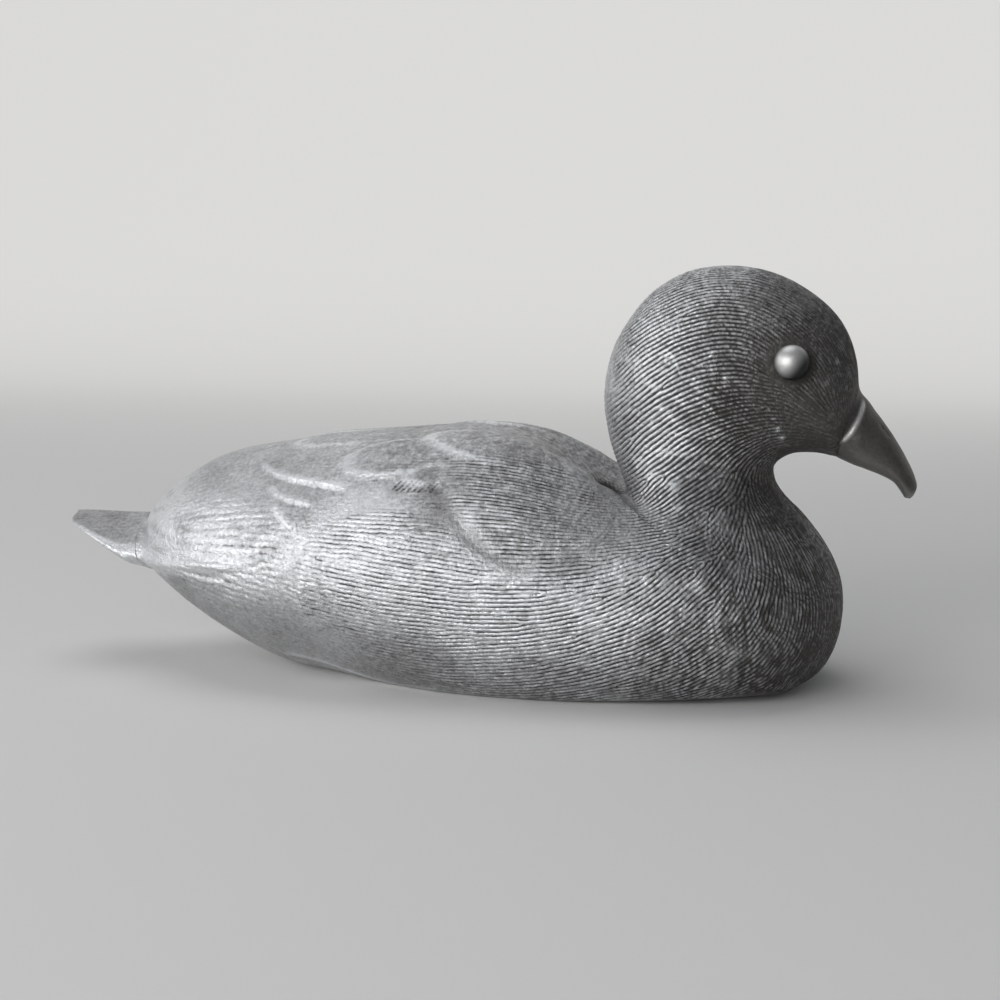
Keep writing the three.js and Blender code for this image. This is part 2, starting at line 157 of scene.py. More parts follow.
# Spacing of the chased lines: a centre seen from the side, its reach and the spacing there
LINE_PITCH = 1.18
LOCAL_PITCH = [
    (18, 52, 18, 1.05), (40, 46, 10, 1), (88, 88, 18, 0.9), (-60, 38, 16, 2.5), (50, 74, 22, 1.32),
]

# Raised feather edges of the right side: points along the edge with the raised side on the left,
# height, how far back the height falls off, half the width of the slope, and how bright it is worn,
# which also sets how dark the painted shadow under it is
WING_EDGE = [
    (-5.5, -31.7, 59.3), (-1.2, -35.9, 56), (6.6, -42.5, 47.6), (12.7, -45.2, 42.1), (19.4, -45.6, 38.8),
]
FLANK_EDGE = [
    (56, -42.6, 29.3), (41.4, -44.4, 34), (28.6, -45.4, 36.1), (19.5, -45.9, 37.6), (7.1, -44.8, 43.6),
    (-5.8, -42, 49), (-13.9, -40.3, 50.5), (-20.6, -40.3, 49.8), (-34.1, -42.3, 44.4),
]
LONG_FEATHER = [
    (-57.4, -18.6, 58.9), (-54, -22.7, 57.3), (-50.2, -25.8, 56.4), (-43.5, -29.7, 55.4),
    (-35.6, -32.5, 54.9), (-26, -35, 54),
]
SECOND_FEATHER = [
    (-51.5, -29, 54.2), (-49, -31.8, 52.6), (-46.7, -33.6, 51.6), (-41.5, -35.9, 50.6), (-35, -37.7, 49.8),
]
SHORT_FEATHER = [
    (-48.3, -34.8, 50.3), (-46.6, -36.8, 48.6), (-44.5, -38.9, 46.9), (-39.8, -41.5, 44.2),
    (-38.2, -39.7, 47.2),
]
FLANK_TOP = FLANK_EDGE[4:]
FLANK_END = [
    (-33, -42.4, 44.6), (-35.5, -43.8, 40), (-37.5, -44.5, 35), (-39.5, -44, 29), (-40, -43.5, 24),
    (-37, -43, 18),
]
FEATHER_EDGES = [
    (LONG_FEATHER, 0.8, 7, 0.9, 0.42),
    (SECOND_FEATHER, 0.7, 5, 0.8, 0.4),
    (SHORT_FEATHER, 0.65, 3.5, 0.8, 0.4),
    (FLANK_EDGE, 0.4, 9, 1.8, 0.1),
    (FLANK_END, 0.5, 8, 1.8, 0.08),
    (WING_EDGE, 0.5, 7, 2.0, 0.06),
]

# Shape of a feather edge: how far it counts and how its ends fade out, in reaches and in shares of its
# length, how its height falls off, reach and depth of the dip before it, place and width of the painted
# shadow there, width of the shine, and the most that edges may add up to
EDGE_REACH = 2.5
EDGE_POWER = 1.5
EDGE_ENDS = ((0, 0.16), (0.84, 1))
DIP_REACH = 0.4
DIP_DEPTH = 0.35
HOLLOW_PLACE = 0.6
HOLLOW_WIDTH = 1.2
SHINE_WIDTH = 0.8
EDGE_LIMIT = 2

# Bands without chased lines beside the feather edges: how far to the left they lie, and half width.
# The first one is the valley before the wing, which is also darkened with painted shade.
WING_VALLEY = (WING_EDGE, -2.2, 2.2)
BARE_BANDS = [
    WING_VALLEY, (LONG_FEATHER, 0, 1.6), (SECOND_FEATHER, 0, 1.4), (SHORT_FEATHER, 0, 1.4),
    (FLANK_TOP, -2.6, 2.2), (FLANK_END, -2.8, 2.4),
]

# Ridges of the right side, along the rump and the base: points along the ridge, height, half width. Then
# how their ends fade out in shares of the length, and how bright they are worn for their height.
TAIL_RIDGE = [
    (-100, -17.2, 32.8), (-93, -18, 31), (-88, -21.5, 30.6), (-83, -26.4, 31.1), (-77.2, -30.8, 31.7),
    (-69.8, -35.1, 32.7), (-60.3, -39.2, 33.4), (-52, -42, 33.6),
]
LOWER_RIDGE = [
    (-84, -25, 28), (-77.4, -30.4, 29.3), (-72.1, -33.5, 29.4), (-66.2, -36.4, 29), (-58, -39.5, 29),
]
BASE_RIDGE = [
    (-52, -20, 12), (-38.2, -26.5, 6), (-28, -26, 2.2), (-18.6, -25.4, 0.7), (-8, -29, 0.9), (4, -32, 0.9),
]
RIDGES = [(TAIL_RIDGE, 1, 1.5), (LOWER_RIDGE, 0.45, 1.1), (BASE_RIDGE, 0.7, 1.7)]
RIDGE_ENDS = ((0, 0.15), (0.75, 1))
RIDGE_SHINE = 1.25

# Lines of points: pieces that a smooth line has for each of its points, and how far soft bands and soft
# lines reach in half widths
LINE_PIECES = 4
BAND_REACH = 3
LINE_REACH = 4

# Thin lip round the root of the bill on the right side: its points, height and half width, where its
# upper end sets in and its lower end stops, and the place and half width of the painted shadow behind it
BILL_LIP = [
    (104.2, -2.5, 78.1), (104.1, -5.9, 76), (103.6, -8, 73.9), (102.7, -9.2, 71.8), (101.4, -9.8, 69.5),
    (99.9, -9.8, 67.8), (98.5, -10.7, 66.5),
]
LIP_HEIGHT = 0.4
LIP_WIDTH = 0.55
LIP_ENDS = ((0, 0.25), (0.97, 1))
LIP_SHADOW = (-1.4, 1.1)

# Broad feathers of the back: root, tip, half width, height. Then half the width of their slopes, the
# share of the length at which they get round and are fully grown, and the width of the shine.
LOBES = [
    ((-2, -24, 64), (-31, -27, 60), 8, 0.9),
    ((24, -22, 63), (-10, -17, 66.5), 9, 0.9),
    ((2, -31, 59), (-13, -33, 58), 4, 0.5),
    ((-20, -8, 67), (-50, -10, 64), 9, 0.6),
]
LOBE_SLOPE = 1.5
LOBE_ROUND = 0.4
LOBE_GROWN = 0.7
LOBE_SHINE = 0.9

# Short slanted strokes under the broad feathers, seen from the side: half width, depth, the middle and
# half the size of the patch that they lie in, and the ends of each
STROKE_WIDTH = 0.27
STROKE_DEPTH = 0.25
STROKE_PATCH = (-6.5, 55.8, 9.5, 2.2)
STROKES = [((-15 + 1.5 * k, 54.6), (-12.8 + 1.5 * k, 56.8)) for k in range(8)]

# Dents of both sides as place, radius and depth, and casting beads of the right side as place along and
# up, radius and height
DENTS = [
    ((37, -4, 52.4), 4, 1.9), ((109.4, -4.2, 70.6), 1, 0.35), ((110.7, -3.9, 68.9), 1, 0.35),
    ((115.9, -5.5, 57), 1.3, 0.3),
]
BEADS = [
    ((69.8, 84.3), 0.7, 0.4), ((69.8, 82.6), 0.6, 0.35), ((79.9, 78.7), 0.5, 0.12),
    ((80.9, 76.2), 0.5, 0.15), ((82, 73.8), 0.5, 0.17), ((83.2, 71), 0.7, 0.3), ((84.2, 68.6), 0.7, 0.3),
    ((97.5, 88.5), 0.8, 0.15), ((40.9, 34.4), 0.7, 0.35), ((-11, 50.6), 0.5, 0.3),
    ((75.5, 79.5), 0.6, 0.12), ((66, 90), 0.6, 0.25),
]

# Tail plate: share of its half width at which the rim starts and how soft that edge is, height of its
# top and how far it falls to the sides, how square the rim is, how sharply the widest place counts,
# how far the plate runs into the rump and fades there, and the tones of plate and rim
TAIL_RIM = 0.9
TAIL_SOFT = 0.07
TAIL_TOP = 41.2
PLATE_SLOPE = 0.75
RIM_POWER = 10
OUTER_POWER = 60
PLATE_REACH = 7
PLATE_FADE = 4
PLATE_TONE = 0.2
RIM_TONE = -0.35

# Shoulder seam: half width and depth of its groove, and the height at which it opens
SEAM_WIDTH = 0.35
SEAM_DEPTH = 0.04
SEAM_OPEN = (22, 34)

# Eyes: radius, depth and squareness of the socket, where the painted shadow of the bead on it and the
# painted shade on the bead lie, how far the bead stands out and is sunk, the share of its radius that is
# left there, the sides and rings of its mesh, the painted shade at its foot, and the heights and the
# places towards the shaded side over which that painted shade changes
SOCKET_RADIUS = 5.3
SOCKET_DEPTH = 0.5
SOCKET_POWER = 4
EYE_SHADE = (1.3, 0, -1.0)
EYE_PROUD = 4.0
EYE_SUNK = 1.2
EYE_FOOT = 0.9
EYE_SIDES = 96
EYE_RINGS = 40
EYE_RIM_SHADE = 0.75
EYE_RIM = (0, 0.45)
EYE_SHADED_SIDE = (-0.25, 0.7)

# Where something sets in or fades out: places along, places up, and parts of a normal
BODY_END = (40, 50)
BACK_END = (30, 45)
BACK_START = (-50, -10)
NARROW_LINES = (25, 60)
RUMP_END = (-52, -38)
RUMP_BAND = ((24, 32), (44, 54))
NECK_FOOT = (50, 58)
HOOP_FOOT = (46, 56)
FACING_UP = (0.74, 0.9)
FACING_DOWN = (0.75, 0.9)
BACK_FACING = (0.5, 0.8)
NAPE_FACING = (0.7, 0.95)
HOOP_FACING = (0.1, 0.7)

# Other fades: lines round an eye and before the bill, unevenness of the bill, the painted highlight on
# its underside, and rows that lie close
EYE_RING = (5, 8)
BILL_LINES = 4
BILL_PLAIN = 6
BILL_SMOOTH = 0.6
BILL_UNDER_HIGHLIGHT = (0.1, 0.7)
CLOSE_ROWS = (0.12, 0.45)

# How much is taken off the lines in the bare bands and down the nape
BARE_SHARE = 0.85
NAPE_SHARE = 0.8

# How dark the hollows are: the strokes and the seam are dark with patina, and painted shadow lies under
# the feather edges, round the broad feathers, in the pits and nostrils and behind the lip. And how bright
# the worn places are, where the bill's entry is a painted highlight on its underside. Then the painted
# shade of the valley, the tones of the mottling of the back and of the bill, and the height of the
# mottling.
SHADE = {"edge": 0.6, "lobe": 0.25, "seam": 0.06, "stroke": 0.6, "pit": 0.7, "lip": 0.4, "nostril": 1.6}
WEAR = {"lobe": 0.4, "bead": 2.2, "ridge": 0.5, "lip": 0.9, "crest": 0.45, "line": 0.1, "bill": 0.2}
VALLEY_SHADE = 0.18
MOTTLE_TONE = 0.2
BILL_TONE = 0.95
MOTTLE_HEIGHT = 0.1

# Darkness seen from the side, partly patina and partly painted shade on the face, the breast and the
# lower parts: place along and up, and share of the aged tone, which is full at 1
PATINA_AND_SHADE = [
    (-110, 36, 0.4), (-86, 36, 0.05), (-80, 44, 0), (-72, 36, 0.15), (-70, 57, 0.4), (-66, 44, 0.15),
    (-76, 25, 0.6), (-70, 18, 0.5), (-52, 38, 0.2), (-45, 58, 0.4), (-48, 14, 0.5), (-15, 62, 0.5),
    (-15, 36, 0.05), (-18, 48, 0), (-2, 51, 0.55), (5, 30, 0.05), (-8, 8, 0.65), (20, 62, 0.6),
    (8, 46, 0.35), (20, 47, 0.5), (32, 45, 0.5), (20, 27, 0.05), (40, 27, 0.15), (28, 5, 0.65),
    (40, 52, 0.65), (50, 30, 0.3), (60, 8, 0.75), (66, 28, 0.55), (75, 28, 0.8), (84, 28, 0.95),
    (98, 22, 1), (92, 10, 1), (42, 70, 0.4), (51, 66, 0), (57, 66, 0.2), (66, 62, 0.7),
    (74, 64, 1), (82, 58, 1.05), (42, 90, 0.4), (50, 96, 0.05), (56, 98, 0.35), (52, 82, 0),
    (60, 84, 0.45), (70, 96, 0.85), (72, 80, 1), (60, 109, 0.45), (70, 110, 0.6), (80, 104, 0.85),
    (85, 90, 1.05), (92, 74, 1.05), (99, 86, 1), (78, 76, 1.05),
]


def smoothstep(low, high, value):
    """0 below low, 1 above high, and a soft rise between them"""
    t = np.clip((value - low) / (high - low), 0, 1)
    return t * t * (3 - 2 * t)


def window(value, rise, fall):
    """A soft rise over one range and a soft fall over another"""
    return smoothstep(*rise, value) * (1 - smoothstep(*fall, value))


def bell(value, width, power=2):
    """1 at zero and a soft fall on both sides"""
    return np.exp(-np.abs(value / width) ** power)


def unit(vectors):
    return vectors / np.maximum(np.linalg.norm(vectors, axis=-1, keepdims=True), 1e-12)


def waves(places, size):
    """Smooth noise between -1 and 1, with bumps about as wide as size"""
    flat = (places.reshape(-1, 3) / size).tolist()
    return np.array([noise.noise(p) for p in flat]).reshape(places.shape[:-1])


def uneven(places, table):
    """Smooth noise summed up from a table of heights and sizes"""
    return sum(height * waves(places, size) for height, size in table)


# Reading the CAD castings

def welded(node):
    """Corners of a CAD node in millimetres, each once, and its triangles"""
    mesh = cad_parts[node].data
    mesh.calc_loop_triangles()
    corners = np.empty(len(mesh.vertices) * 3)
    mesh.vertices.foreach_get("co", corners)
    triangles = np.empty(len(mesh.loop_triangles) * 3, int)
    mesh.loop_triangles.foreach_get("vertices", triangles)
    corners = corners.reshape(-1, 3) / MM
    _, first, same = np.unique(corners.round(3), axis=0, return_index=True, return_inverse=True)
    return corners[first], same.ravel()[triangles].reshape(-1, 3)


def directions(count):
    """Directions spread evenly over a ball"""
    k = np.arange(count)
    z = 1 - (2 * k + 1) / count
    turn = k * math.pi * (3 - math.sqrt(5))
    flat = np.sqrt(1 - z * z)
    return np.stack([flat * np.cos(turn), flat * np.sin(turn), z], 1)


SOLIDS = {name: welded(name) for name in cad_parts}


def everything():
    """One search tree of all the solids, to tell what shows from outside"""
    points, faces = [], []
    for corners, triangles in SOLIDS.values():
        faces += (triangles + len(points)).tolist()
        points += corners.tolist()
    return BVHTree.FromPolygons(points, faces)


ALL_SOLIDS = everything()

# Looks out from a triangle: their directions, the least cosine to its normal, how many have to be free,
# and how far from it they start
LOOKS = [Vector(d) for d in directions(96)]
FACING = 0.45
LEAST_FREE = 3
START = 0.01


def is_shown(a, b, c):
    """True for a triangle from which a few looks go out past all the solids"""
    normal = Vector(np.cross(b - a, c - a)).normalized()
    start = Vector((a + b + c) / 3) + normal * START
    free = 0
    for look in LOOKS:
        if look.dot(normal) > FACING and ALL_SOLIDS.ray_cast(start, look)[0] is None:
            free += 1
            if free == LEAST_FREE:
                return True
    return False


def edge_triangles(triangles):
    """The numbers of the triangles on each edge"""
    sharing = {}
    for k, triangle in enumerate(triangles.tolist()):
        for j in range(3):
            sharing.setdefault(frozenset((triangle[j], triangle[j - 1])), []).append(k)
    return sharing


def outer_skin(node):
    """Corners of a node and the triangles of its outer skin: those that show from outside, and
    those in deep corners that have such triangles on two sides"""
    corners, triangles = SOLIDS[node]
    beside = [[] for _ in triangles]
    for pair in edge_triangles(triangles).values():
        for k in pair:
            beside[k] += [other for other in pair if other != k]
    skin = {k for k, triangle in enumerate(triangles) if is_shown(*corners[triangle])}
    grown = True
    while grown:
        left = set(range(len(triangles))) - skin
        grown = {k for k in left if sum(other in skin for other in beside[k]) > 1}
        skin |= grown
    return corners, triangles[sorted(skin)]


def rim_loops(triangles):
    """Groups of corners along the open edges of some triangles"""
    beside = {}
    for (a, b), sides in edge_triangles(triangles).items():
        if len(sides) == 1:
            beside.setdefault(a, set()).add(b)
            beside.setdefault(b, set()).add(a)
    loops = []
    left = set(beside)
    while left:
        group, todo = set(), [left.pop()]
        while todo:
            a = todo.pop()
            group.add(a)
            todo += [b for b in beside[a] if b not in group]
        left -= group
        loops.append(group)
    return loops


def rings(node, from_back=True, flat_below=False):
    """Rings of points of a node's skin, row by row from its rear or front end"""
    corners, triangles = outer_skin(node)
    beside = {}
    for t in triangles.tolist():
        for a in t:
            beside.setdefault(a, set()).update(t)
    ends = [loop for loop in rim_loops(triangles) if len(loop) > SIDE_COLUMNS]
    ends.sort(key=lambda loop: np.mean([corners[a][0] for a in loop]))
    row = ends[0] if from_back else ends[-1]
    used, rows = set(), []
    while len(row) >= SIDE_COLUMNS:
        rows.append(full_ring(corners[sorted(row)], flat_below))
        used |= row
        row = set().union(*(beside[a] for a in row)) - used
    return np.array(rows)


def full_ring(ring, flat_below):
    """The points of a ring in order, from the middle of the belly up the right side and down the
    left. Where its belly is flat it may be open there, and its belly points are made anew."""
    spine = ring[np.abs(ring[:, 1]) < ON_SPINE]
    top = spine[np.argmax(spine[:, 2])]
    down = unit((ring.mean(0) - top) * (1, 0, 1))
    turn = np.arctan2(ring[:, 1], (ring.mean(0) - ring) @ down)
    order = np.argsort(turn)
    middle = int(np.argmin(np.abs(turn[order])))
    ring = ring[order]
    if not flat_below:
        return np.roll(ring, COLUMNS // 2 - middle, axis=0)
    reach = SIDE_COLUMNS // 2
    side = ring[middle - reach : middle + reach + 1]
    right, left = side[0], side[-1]
    rim = min(BASE_RIM / left[1], 0.5) / 2
    shares = (rim, (rim + 0.5) / 2, 0.5, 0.75 - rim / 2, 1 - rim)
    belly = [left + (right - left) * share for share in shares]
    return np.concatenate([belly[2:], side, belly[:2]])


# Smooth surfaces through the CAD rings

def curvature(knots, values):
    """Second derivatives of the smooth curve through some values"""
    step = np.diff(knots)
    count = len(knots)
    system = np.eye(count)
    bend = np.zeros_like(values)
    slope = np.diff(values, axis=0) / step.reshape(-1, *[1] * (values.ndim - 1))
    for k in range(1, count - 1):
        system[k, k - 1 : k + 2] = step[k - 1], 2 * (step[k - 1] + step[k]), step[k]
        bend[k] = 6 * (slope[k] - slope[k - 1])
    return np.linalg.solve(system, bend.reshape(count, -1)).reshape(values.shape)


def through(knots, values, at):
    """Points at some places along the smooth curve through some values"""
    bend = curvature(knots, values)
    k = np.clip(np.searchsorted(knots, at, "right") - 1, 0, len(knots) - 2)
    shape = (-1,) + (1,) * (values.ndim - 1)
    width = (knots[k + 1] - knots[k]).reshape(shape)
    b = (at - knots[k]).reshape(shape) / width
    a = 1 - b
    curve = (a ** 3 - a) * bend[k] + (b ** 3 - b) * bend[k + 1]
    return a * values[k] + b * values[k + 1] + curve * width ** 2 / 6


# Columns round a ring with some overlap, so that it closes smoothly
OVERLAP = 8
AROUND = np.arange(-OVERLAP, COLUMNS + OVERLAP)


class Skin:
    """A smooth skin through rings of points. Where it is round it turns under softly, and
    elsewhere its underside is flat between its base edges."""

    def __init__(self, rows, round_share):
        self.rows = rows
        self.round_share = round_share
        steps = np.linalg.norm(np.diff(rows, axis=0), axis=2).mean(1)
        self.places = np.concatenate([[0], np.cumsum(steps)])

    def flat_rings(self, lines, over):
        """Rings with a flat belly, at places counted in columns"""
        left = COLUMNS - BASE_EDGE
        on_side = over <= left
        sides = lines[:, BASE_EDGE : left + 1].transpose(1, 0, 2)
        sides = through(np.arange(SIDE_COLUMNS), sides, over[on_side] - BASE_EDGE)
        k = over[~on_side].astype(int)
        share = (over[~on_side] - k)[:, None]
        belly = lines[:, k % COLUMNS] * (1 - share) + lines[:, (k + 1) % COLUMNS] * share
        return np.concatenate([sides.transpose(1, 0, 2), belly], 1)

    def round_ring(self, line, over):
        """One ring that is smooth all round"""
        points = line[AROUND % COLUMNS]
        steps = np.linalg.norm(np.diff(points, axis=0), axis=1) + 1e-6
        knots = np.concatenate([[0], np.cumsum(steps)])
        return through(knots, points, np.interp(over, AROUND, knots))

    def grid(self, along, over):
        """Points of the skin at places along it and round it"""
        lines = through(self.places, self.rows, along)
        points = self.flat_rings(lines, over)
        share = self.round_share(along)
        for k in np.nonzero(share)[0]:
            points[k] += share[k] * (self.round_ring(lines[k], over) - points[k])
        points[..., 2] = np.maximum(points[..., 2], 0)
        return points


def with_tip(rows, first=False):
    """Rows of an end piece with its rounded tip as one more row"""
    last, before = (rows[0], rows[1]) if first else (rows[-1], rows[-2])
    tip = last.mean(0) + unit(last.mean(0) - before.mean(0)) * TIP_LENGTH
    tip = np.repeat(tip[None, None], COLUMNS, 1)
    return np.concatenate([tip, rows] if first else [rows, tip])


TAIL_ROWS = with_tip(rings("tail_plate", from_back=False)[:0:-1], first=True)
BODY_ROWS = rings("body_shell", flat_below=True)
HEAD_ROWS = rings("head_shell")
BILL_ROWS = with_tip(rings("bill")[2:])
BODY_ROWS[0] = (TAIL_ROWS[-1] + BODY_ROWS[1]) / 2

# How far from the tail the rump is round below, and where the breast gets round, counted from the seam
ROUND_RUMP = 30
ROUND_BREAST = (-14, 22)


def round_places(along):
    """Share of roundness below: none along the base, all on the tail, the neck and the head"""
    rump = 1 - smoothstep(0, ROUND_RUMP, along - TAIL_JOINT)
    return np.maximum(rump, smoothstep(*ROUND_BREAST, along - SEAM))


DUCK = Skin(np.concatenate([TAIL_ROWS, BODY_ROWS[:-1], HEAD_ROWS, BILL_ROWS]), round_places)
TAIL_JOINT = DUCK.places[len(TAIL_ROWS)]
SEAM = DUCK.places[len(TAIL_ROWS) + len(BODY_ROWS) - 1]
BILL_JOINT = DUCK.places[-len(BILL_ROWS) - 1]
BASE_ENDS = [DUCK.places[len(TAIL_ROWS) + row] for row in BASE_ROWS]


# Chased lines

def from_side(table, places):
    """Values of a table at places, each weighed by how near it is seen from the side"""
    table = np.array(table, float)
    gap = places[..., None, [0, 2]] - table[:, :2]
    weight = 1 / ((gap ** 2).sum(-1) + SIDE_REACH ** 2) ** 2
    weight /= weight.sum(-1, keepdims=True)
    return [weight @ column for column in table[:, 2:].T]


def line_spacing(places):
    """Distance between neighbouring chased lines"""
    pitch = np.full(places.shape[:-1], LINE_PITCH)
    for x, z, reach, there in LOCAL_PITCH:
        gap = (places[..., 0] - x) ** 2 + (places[..., 2] - z) ** 2
        pitch += (there - LINE_PITCH) * np.exp(-gap / reach ** 2)
    return pitch


def streaks(places, rise, size):
    """Smooth noise that is drawn out along the lines, given by its height, length and width"""
    height, length, width = size
    rise = np.radians(rise)
    along = places[..., 0] * np.cos(rise) + places[..., 2] * np.sin(rise)
    across = places[..., 2] * np.cos(rise) - places[..., 0] * np.sin(rise)
    return height * waves(np.stack([along / length, places[..., 1] / length, across / width], -1), 1)


def line_strength(places, normals, strength):
    """How deep the lines are cut: they fade out on the back, down the nape and under the body"""
    on_body = 1 - smoothstep(*BODY_END, places[..., 0])
    back = on_body * smoothstep(*FACING_UP, normals[..., 2])
    nape = smoothstep(*NAPE_FACING, -normals[..., 0]) * smoothstep(*NECK_FOOT, places[..., 2])
    under = smoothstep(*FACING_DOWN, -normals[..., 2])
    bare = np.ones(places.shape[:-1])
    for points, left, width in BARE_BANDS:
        bare *= 1 - BARE_SHARE * band(places, normals, points, left, width)
    x, z, long, high = STROKE_PATCH
    patch = ((places[..., 0] - x) / long) ** 4 + ((places[..., 2] - z) / high) ** 4
    bare *= 1 - np.exp(-patch)
    bare *= smoothstep(*EYE_RING, eye_distance(places))
    return strength * (1 - back) * (1 - NAPE_SHARE * nape) * (1 - under) * bare


def line_directions(places, normals, rise):
    """Unit vectors along the lines: as seen from the side, but round the nape like hoops"""
    rise = np.radians(rise)
    zero = np.zeros_like(rise)
    seen = np.stack([np.cos(rise), zero, np.sin(rise)], -1)
    flat = seen - (seen * normals).sum(-1, keepdims=True) * normals
    tilt = np.stack([-np.sin(rise), zero, np.cos(rise)], -1)
    hoop = np.cross(normals, tilt)
    hoop *= np.where((hoop * flat).sum(-1, keepdims=True) < 0, -1, 1)
    round_nape = smoothstep(*HOOP_FACING, -normals[..., 0]) * smoothstep(*HOOP_FOOT, places[..., 2])
    return unit(unit(flat) + round_nape[..., None] * (unit(hoop) - unit(flat)))


class Chasing:
    """Evenly spaced lines that follow a field of directions over the sides of the duck. They are kept
    as a wave on a net of points, and a line runs along each trough of the wave."""

    def __init__(self):
        rows, columns = NET_SIZE
        self.along = np.linspace(TAIL_JOINT, BILL_JOINT, rows)
        self.over = np.linspace(BASE_EDGE, COLUMNS - BASE_EDGE, columns)
        self.places = DUCK.grid(self.along, self.over)
        normals = unit(np.cross(np.gradient(self.places, axis=0), np.gradient(self.places, axis=1)))
        rise, strength = from_side(CHASING, self.places)
        run = line_directions(self.places, normals, rise + uneven(self.places, RUN_WAVES))
        pace = 2 * math.pi / line_spacing(self.places)
        self.pace = np.cross(normals, run) * pace[..., None]
        self.weight = FAINTEST_LINE + line_strength(self.places, normals, strength)
        self.wave = self.settled()
        coarse = self.places[:: STRIDES[0], :: STRIDES[0]]
        faces = net_faces(*coarse.shape[:2])
        self.tree = BVHTree.FromPolygons(coarse.reshape(-1, 3).tolist(), faces)

    def climb(self, axis):
        """Phase of the wave summed up along one axis of the net"""
        after = np.arange(1, self.places.shape[axis])
        pace = (self.pace.take(after, axis) + self.pace.take(after - 1, axis)) / 2
        steps = (pace * np.diff(self.places, axis=axis)).sum(-1)
        return np.insert(steps.cumsum(axis), 0, 0, axis)

    def settled(self):
        """The wave that keeps best in step with the field of directions, settled from coarse to fine"""
        climbs = self.climb(0), self.climb(1)
        wave = None
        for stride, rounds in zip(STRIDES, ROUNDS):
            weight = self.weight[::stride, ::stride]
            down = np.exp(1j * np.diff(climbs[0][::stride, ::stride], axis=0))
            across = np.exp(1j * np.diff(climbs[1][::stride, ::stride], axis=1))
            if wave is None:
                draw = np.random.default_rng(FIRST_DRAW)
                wave = np.exp(2j * math.pi * draw.random(weight.shape))
            else:
                wave = finer_wave(wave, down, across)
            wave = in_step(wave, down, across, weight, rounds)
        return wave

    def wave_at(self, along, over, places):
        """The wave at the places of a mesh, given with their rows along and columns over the skin"""
        i = np.interp(along, self.along, np.arange(len(self.along)))
        j = np.interp(over, self.over, np.arange(len(self.over)))
        row = np.minimum(i.astype(int), len(self.along) - 2)
        column = np.minimum(j.astype(int), len(self.over) - 2)
        total = np.zeros(places.shape[:2], complex)
        for down in (0, 1):
            for aside in (0, 1):
                corner = np.ix_(row + down, column + aside)
                share = np.outer(1 - np.abs(i - row - down), 1 - np.abs(j - column - aside))
                turn = ((places - self.places[corner]) * self.pace[corner]).sum(-1)
                total += share * self.wave[corner] * np.exp(1j * turn)
        return total

    def seen(self, x, z):
        """The place on the right side that is seen at x, z from far on the right"""
        return np.array(self.tree.ray_cast(Vector((x, FAR_RIGHT, z)), Vector((0, 1, 0)))[0])


def finer_wave(wave, down, across):
    """A wave carried over to a net of twice as many rows and columns"""
    finer = np.empty((down.shape[0] + 1, across.shape[1] + 1), complex)
    finer[::2, ::2] = wave
    finer[1::2, ::2] = wave[:-1] * down[::2, ::2]
    finer[:, 1::2] = finer[:, :-1:2] * across[:, ::2]
    return finer


def in_step(wave, down, across, weight, rounds):
    """A wave brought into step with its neighbours, round by round"""
    back, aback = down.conj(), across.conj()
    for _ in range(rounds):
        heavy = wave * weight
        pull = OWN_WEIGHT * heavy
        pull[1:] += heavy[:-1] * down
        pull[:-1] += heavy[1:] * back
        pull[:, 1:] += heavy[:, :-1] * across
        pull[:, :-1] += heavy[:, 1:] * aback
        wave = pull / np.maximum(np.abs(pull), 1e-9)
    return wave


# Meshes

def net_faces(rows, columns, closed=False):
    """Quads of a net of points, row by row, whose rows are open or closed"""
    i, j = np.meshgrid(np.arange(rows - 1), np.arange(columns - 1 + closed), indexing="ij")
    a = i * columns + j
    b = i * columns + (j + 1) % columns
    return np.stack([a, a + columns, b + columns, b], -1).reshape(-1, 4).tolist()


def ring_faces(rows, columns):
    """Quads between closed rings, and triangles to one more point at either end"""
    first = np.arange(columns)
    after = (first + 1) % columns
    last = (rows - 1) * columns
    ends = np.full(columns, rows * columns)
    start_fan = np.stack([first, after, ends], 1).tolist()
    end_fan = np.stack([after + last, first + last, ends + 1], 1).tolist()
    return net_faces(rows, columns, closed=True) + start_fan + end_fan


def normals_of(points):
    """Outward normals of closed rings of points"""
    ahead = np.gradient(points, axis=0)
    aside = np.roll(points, -1, 1) - np.roll(points, 1, 1)
    return unit(np.cross(ahead, aside))


def placed(name, data):
    """A new object of the scene"""
    made = bpy.data.objects.new(name, data)
    bpy.context.collection.objects.link(made)
    return made


def make_piece(name, points, values, material, node):
    """A smooth closed piece that stands for a CAD node, with values for its material"""
    rows, columns = points.shape[:2]
    ends = np.stack([points[0].mean(0), points[-1].mean(0)])
    places = np.concatenate([points.reshape(-1, 3), ends]) * MM
    mesh = bpy.data.meshes.new(name)
    mesh.from_pydata(places.tolist(), [], ring_faces(rows, columns))
    round_faces = np.arange(len(mesh.polygons)) < (rows - 1) * columns
    mesh.polygons.foreach_set("use_smooth", round_faces)
    for label, numbers in values.items():
        numbers = np.concatenate([numbers.ravel(), [numbers[0].mean(), numbers[-1].mean()]])
        layer = mesh.attributes.new(label, "FLOAT", "POINT")
        layer.data.foreach_set("value", numbers.astype(np.float32))
    mesh.materials.append(material)
    piece = placed(name, mesh)
    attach(piece, "root")
    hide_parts(node)


def rows_between(start, end, step, step_at_seam):
    """Places of the rows of a mesh, as close together near the shoulder seam as is asked for there"""
    fine = np.linspace(start, end, ROW_SUMS)
    near = 1 - smoothstep(*FINE_ROWS, np.abs(fine - SEAM))
    climb = np.cumsum(1 / (step + (step_at_seam - step) * near)) * (fine[1] - fine[0])
    return np.interp(np.linspace(climb[0], climb[-1], int(climb[-1]) + 1), climb, fine)


